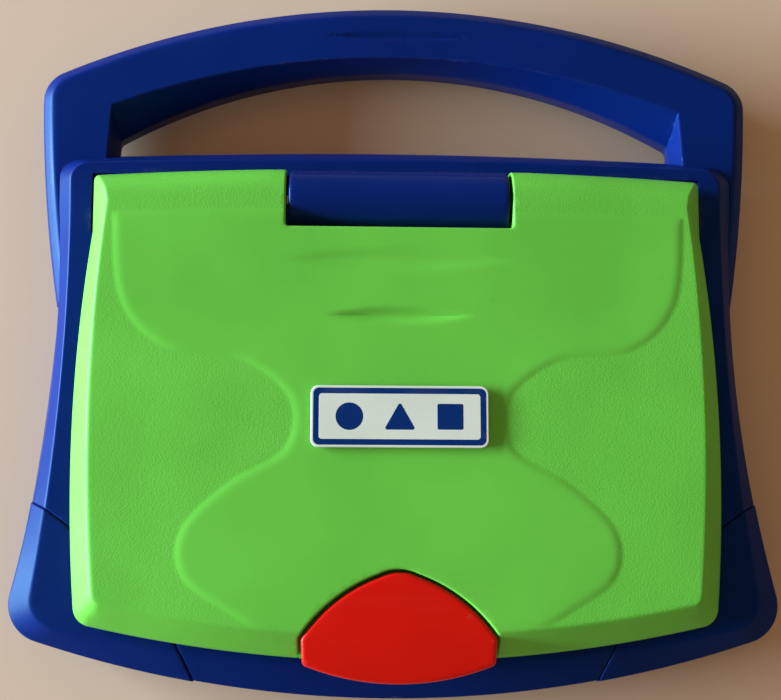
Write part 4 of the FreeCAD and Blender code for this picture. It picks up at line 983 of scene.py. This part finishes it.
def key_cap(node_name, cap_material, legend, legend_material, legend_height):
    """A key with a dished top, soft edges and a printed legend."""
    low, high = [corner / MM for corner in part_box(node_name)]
    middle = ((low.x + high.x) / 2, (low.y + high.y) / 2)
    half = ((high.x - low.x) / 2, (high.y - low.y) / 2)
    shoulder = high.z - KEY_SHOULDER
    profile = []
    for share in np.linspace(0, 1, 6):
        z = low.z + (shoulder - low.z) * share
        profile.append((KEY_SIDE_TAPER * (z - low.z) / (high.z - low.z), z))
    for angle in np.linspace(0, math.pi / 2, 6)[1:]:
        inset = KEY_SIDE_TAPER + KEY_SHOULDER * (1 - math.cos(angle))
        profile.append((inset, shoulder + KEY_SHOULDER * math.sin(angle)))
    profile += [(min(half) * share, high.z - sink) for share, sink in KEY_DISH]
    rings = [rounded_ring(middle, (half[0] - inset, half[1] - inset), KEY_CORNER, z) for inset, z in profile]
    cap = ringed_solid(node_name + "_cap", rings, cap_material)
    place_mm = (*middle, high.z - LEGEND_SINK)
    text = lettering(node_name + "_legend", legend, legend_height, place_mm, legend_material)
    return joined(node_name + "_cap", [cap, text])


def screen_surround():
    """A thin raised frame round the screen opening, on the lid's inner face."""
    low, high = [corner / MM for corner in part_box("screen_window")]
    inner = rectangle((low.x - 0.1, high.x + 0.1), (low.y - 0.1, high.y + 0.1), 3.0)
    outer = rectangle((low.x - 4.5, high.x + 4.5), (low.y - 4.5, high.y + 4.5), 6.0)
    rings = outer.loops(0.0, 0.15, 0.5) + inner.loops_out(0.0, 0.15, 0.5)
    xy, tri = plan_mesh(rings, 2.5, lambda p: outer.holds(p) & (inner.depth(p) < 0))
    near = np.minimum(outer.depth(xy), -inner.depth(xy))
    face_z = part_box("screen_bezel")[0].z / MM
    bottom = face_z - 0.5 + drop(near, 0.5)
    return height_solid("screen_frame", xy, tri, face_z + 0.3, bottom, blue_gloss)


# ---------------------------------------------------------------- more materials

def steel(name, color):
    """Plated steel: fine brushing, dull patches, a few dark spots."""
    paint = Paint(name)
    spots = paint.ramp(paint.noise(1.2, 3.0, 0.7), 0.6, 0.72)
    spotted = paint.mix(spots, color, shade(color, 0.45))
    brushed = paint.noise(0.5, 2.0, 0.5, stretch=(0.1, 1.0, 1.0))
    return paint.finish(spotted, paint.ramp(brushed, 0.3, 0.7, 0.22, 0.42), brushed, 0.6, 4e-6, Metallic=1.0)


def rubber(name, color):
    """Soft moulded rubber: dull, slightly mottled, with pale scuffs and a matt grain."""
    paint = Paint(name)
    scuff = paint.ramp(paint.noise(3.0, 4.0, 0.7), 0.55, 0.75, 0.0, 0.4)
    pale = tuple(0.6 * c + 0.08 for c in color)
    grain = paint.noise(0.5, 2.0, 0.6)
    return paint.finish(paint.mix(scuff, color, pale), paint.ramp(grain, 0.3, 0.7, 0.7, 0.9),
                        grain, 1.0, 2.5e-5, Specular_IOR_Level=0.3)


def bricks(paint, **settings):
    """A brick pattern; underscores in the setting names stand for spaces."""
    made = paint.node("TexBrick", Vector=paint.coords)
    for name, value in settings.items():
        paint.put(made.inputs[name.replace("_", " ")], value)
    return made


def circuit_board():
    """Green solder mask with paler copper tracks under it and small tinned pads."""
    paint = Paint("circuit_board")
    tracks = bricks(paint, Scale=120.0, Mortar_Size=0.06, Color1=(0.006, 0.075, 0.028),
                    Color2=(0.008, 0.092, 0.034), Mortar=(0.03, 0.19, 0.07))
    dots = paint.node("TexVoronoi", Vector=paint.coords, Scale=260.0)
    pads = paint.ramp(dots.outputs["Distance"], 0.16, 0.13)
    return paint.finish(paint.mix(pads, tracks.outputs["Color"], (0.5, 0.5, 0.48)),
                        paint.ramp(pads, 0.0, 1.0, 0.35, 0.25))


def clear_pane():
    """A clear moulded window with faint smears."""
    paint = Paint("clear_pane")
    smears = paint.ramp(paint.noise(14.0, 4.0, 0.6), 0.4, 0.7, 0.03, 0.14)
    return paint.finish((0.93, 0.95, 0.95), smears, Transmission_Weight=1.0, IOR=1.49)


def display():
    """A grey-green liquid crystal panel with its faint grid of dots."""
    paint = Paint("liquid_crystal")
    grid = bricks(paint, Scale=1000.0, Brick_Width=0.9, Row_Height=0.9, Mortar_Size=0.06,
                  Color1=(0.26, 0.31, 0.20), Color2=(0.25, 0.30, 0.195), Mortar=(0.29, 0.34, 0.23))
    grid.offset = 0.0
    cloud = paint.ramp(paint.noise(40.0, 2.0), 0.3, 0.7)
    return paint.finish(paint.mix(cloud, grid.outputs["Color"], (0.235, 0.285, 0.185)), 0.3)


blue_gloss = moulded("navy_gloss_plastic", NAVY, 0.27, grain_mm=1.4, grain_um=3.0, wear=0.25, dust=0.25,
                     specular=0.25, sheen=BLUE_SHEEN)
cream = moulded("cream_label", (0.72, 0.74, 0.66), 0.34, grain_mm=0.5, grain_um=2.0, wear=0.1, dust=0.15)
badge_blue = moulded("label_blue", (0.003, 0.024, 0.15), 0.3, grain_mm=0.5, grain_um=1.5, wear=0.1,
                     specular=0.25, sheen=BLUE_SHEEN)
grey = moulded("pale_grey_plastic", (0.52, 0.56, 0.62), 0.42, grain_mm=0.9, grain_um=16.0, wear=0.0, dust=0.3)
blue_case = moulded("navy_case_plastic", NAVY, 0.42, grain_mm=1.0, grain_um=14.0, wear=0.0, dust=0.25,
                    specular=0.16, sheen=BLUE_SHEEN)
white_key = moulded("white_key_plastic", (0.78, 0.78, 0.72), 0.33, grain_um=4.0, wear=0.15, dust=0.25)
red_key = moulded("red_key_plastic", RED, 0.33, grain_um=4.0, wear=0.2)
orange_key = moulded("orange_key_plastic", (0.85, 0.26, 0.012), 0.33, grain_um=4.0, wear=0.2)
green_key = moulded("green_key_plastic", LIME, 0.33, grain_um=4.0, wear=0.2)
legend_blue = moulded("legend_blue", (0.01, 0.03, 0.22), 0.4, grain_mm=0.4, grain_um=1.0, wear=0.0)
legend_white = moulded("legend_white", (0.82, 0.82, 0.80), 0.4, grain_mm=0.4, grain_um=1.0, wear=0.0)
pixel_dark = moulded("pixel_dark", (0.02, 0.028, 0.03), 0.35, grain_mm=0.4, grain_um=1.0, wear=0.0)
black_rubber = rubber("black_rubber", (0.016, 0.016, 0.018))
dome_rubber = rubber("dome_rubber", (0.42, 0.44, 0.46))
jacket = moulded("cell_jacket", (0.03, 0.03, 0.034), 0.3, grain_um=2.0, wear=0.0)
speaker_black = moulded("speaker_black", (0.02, 0.02, 0.02), 0.5, grain_um=20.0, wear=0.0)

FINISH = {
    "base_plastic": blue, "panel_plastic": grey, "lid_plastic": lime, "latch_plastic": red,
    "badge_plastic": cream, "clear_pane": clear_pane(), "display_glass": display(),
    "circuit_board": circuit_board(), "dome_rubber": dome_rubber, "foot_rubber": black_rubber,
    "steel": steel("plated_steel", (0.55, 0.55, 0.57)),
    "battery_jacket": jacket, "speaker_black": speaker_black,
    "key_white": white_key, "key_red": red_key, "key_orange": orange_key, "key_green": green_key,
}


# ---------------------------------------------------------------- assembly

def place(piece, body, slot_name, stands_for=None):
    """The piece moves with the body and stands for a CAD node, if it is named."""
    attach(piece, body)
    if stands_for:
        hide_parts(stands_for)


place(upper_case(), "base", "base_plastic", "upper_case")
place(corner_cap(-1), "base", "base_plastic", "corner_cap_left")
place(corner_cap(1), "base", "base_plastic", "corner_cap_right")
for half, stands_for in zip(carrying_arch(), ("handle_upper_half", "handle_lower_half")):
    place(half, "base", "base_plastic", stands_for)
place(hinge_block(), "base", "base_plastic", "hinge_block")
place(lid_moulding(), "lid", "lid_plastic", "lid_shell")
place(badge(), "lid", "badge_plastic", "lid_badge")
place(latch(), "latch", "latch_plastic", "latch_button")
place(screen_surround(), "lid", "base_plastic")

WORDS = {"key_enter": "ENTER", "key_erase": "ERASE", "key_space": "SPACE", "key_power": "ON / OFF"}
slot_of = {part["node"]: part["material_slot"] for part in frame["record"]["subparts"]}
for name in sorted(frame["nodes"]):
    if not name.startswith("key_") or name == "key_dome_mat":
        continue
    word = WORDS.get(name, name[4:].upper())
    ink = legend_blue if slot_of[name] == "key_white" else legend_white
    height = LETTER_HEIGHT if len(word) == 1 else WORD_HEIGHT
    place(key_cap(name, FINISH[slot_of[name]], word, ink, height), name, slot_of[name], name)

panel_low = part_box("lcd_panel")[0] / MM
sample = lettering("screen_characters", "A B C   1 2 3", 7.0, (0, panel_low.y + 25, panel_low.z - 0.03),
                   pixel_dark, flip=True)
place(sample, "lid", "display_glass")

for name, obj in frame["nodes"].items():
    if not obj.hide_render:
        obj.data.materials.clear()
        obj.data.materials.append(blue_case if slot_of[name] == "base_plastic" else FINISH[slot_of[name]])


# ---------------------------------------------------------------- floor, light, camera

FLOOR_HALF, FLOOR_COLOR = 4.0, (0.66, 0.46, 0.345)
WINDOW_PLACE, WINDOW_AIM, WINDOW_SIZE = Vector((-2.90, 0.32, 0.58)), Vector((0, 0, 0.03)), (2.2, 0.5)
WINDOW_POWER, WINDOW_COLOR = 405, (0.64, 0.88, 1.0)
ROOM_COLOR, ROOM_GLOW = (1.0, 0.72, 0.44), (0.42, 0.34)   # glow near the floor and overhead
CAMERA_LENS, CAMERA_TURNS, CAMERA_PLACE = 67.9, (-9.735, 2.254, -0.482), (-0.0255, -0.10345, 0.6004)


def floor():
    """A plain pale floor."""
    material = bpy.data.materials.new("pale_floor")
    material.use_nodes = True
    shader = material.node_tree.nodes["Principled BSDF"]
    shader.inputs["Base Color"].default_value = (*FLOOR_COLOR, 1)
    shader.inputs["Roughness"].default_value = 0.7
    shader.inputs["Specular IOR Level"].default_value = 0.1
    mesh = bpy.data.meshes.new("floor")
    corners = [(x * FLOOR_HALF, y * FLOOR_HALF, 0) for x, y in ((-1, -1), (1, -1), (1, 1), (-1, 1))]
    mesh.from_pydata(corners, [], [(0, 1, 2, 3)])
    mesh.materials.append(material)
    new_object("floor", mesh)


def window_light():
    """One low window on the left, the only strong light."""
    data = bpy.data.lights.new("window_light", "AREA")
    data.shape = "RECTANGLE"
    data.size, data.size_y = WINDOW_SIZE
    data.energy, data.color = WINDOW_POWER, WINDOW_COLOR
    made = new_object("window_light", data)
    made.location = WINDOW_PLACE
    made.rotation_euler = (WINDOW_AIM - WINDOW_PLACE).to_track_quat("-Z", "Y").to_euler()


def surroundings():
    """A dim warm room, a little brighter near the floor than overhead."""
    world = bpy.data.worlds.new("world")
    sky = Wiring(world)
    facing = sky.node("SeparateXYZ", Vector=sky.node("TexCoord").outputs["Generated"])
    background = sky.nodes["Background"]
    sky.put(background.inputs["Strength"], sky.ramp(facing.outputs["Z"], 0.0, 0.85, *ROOM_GLOW))
    sky.put(background.inputs["Color"], ROOM_COLOR)
    bpy.context.scene.world = world


def camera():
    """The viewing angle: almost straight down, from a little in front of the middle."""
    data = bpy.data.cameras.new("camera")
    data.lens, data.sensor_width = CAMERA_LENS, 36.0
    data.clip_start, data.clip_end = 0.01, 50
    made = new_object("camera", data)
    pitch, yaw, roll = [math.radians(a) for a in CAMERA_TURNS]
    turn = Matrix.Rotation(roll, 3, "Z") @ Matrix.Rotation(yaw, 3, "Y") @ Matrix.Rotation(pitch, 3, "X")
    made.matrix_world = Matrix.Translation(CAMERA_PLACE) @ turn.transposed().to_4x4()
    bpy.context.scene.camera = made


floor()
window_light()
surroundings()
camera()
bpy.context.scene.view_settings.view_transform = "Standard"
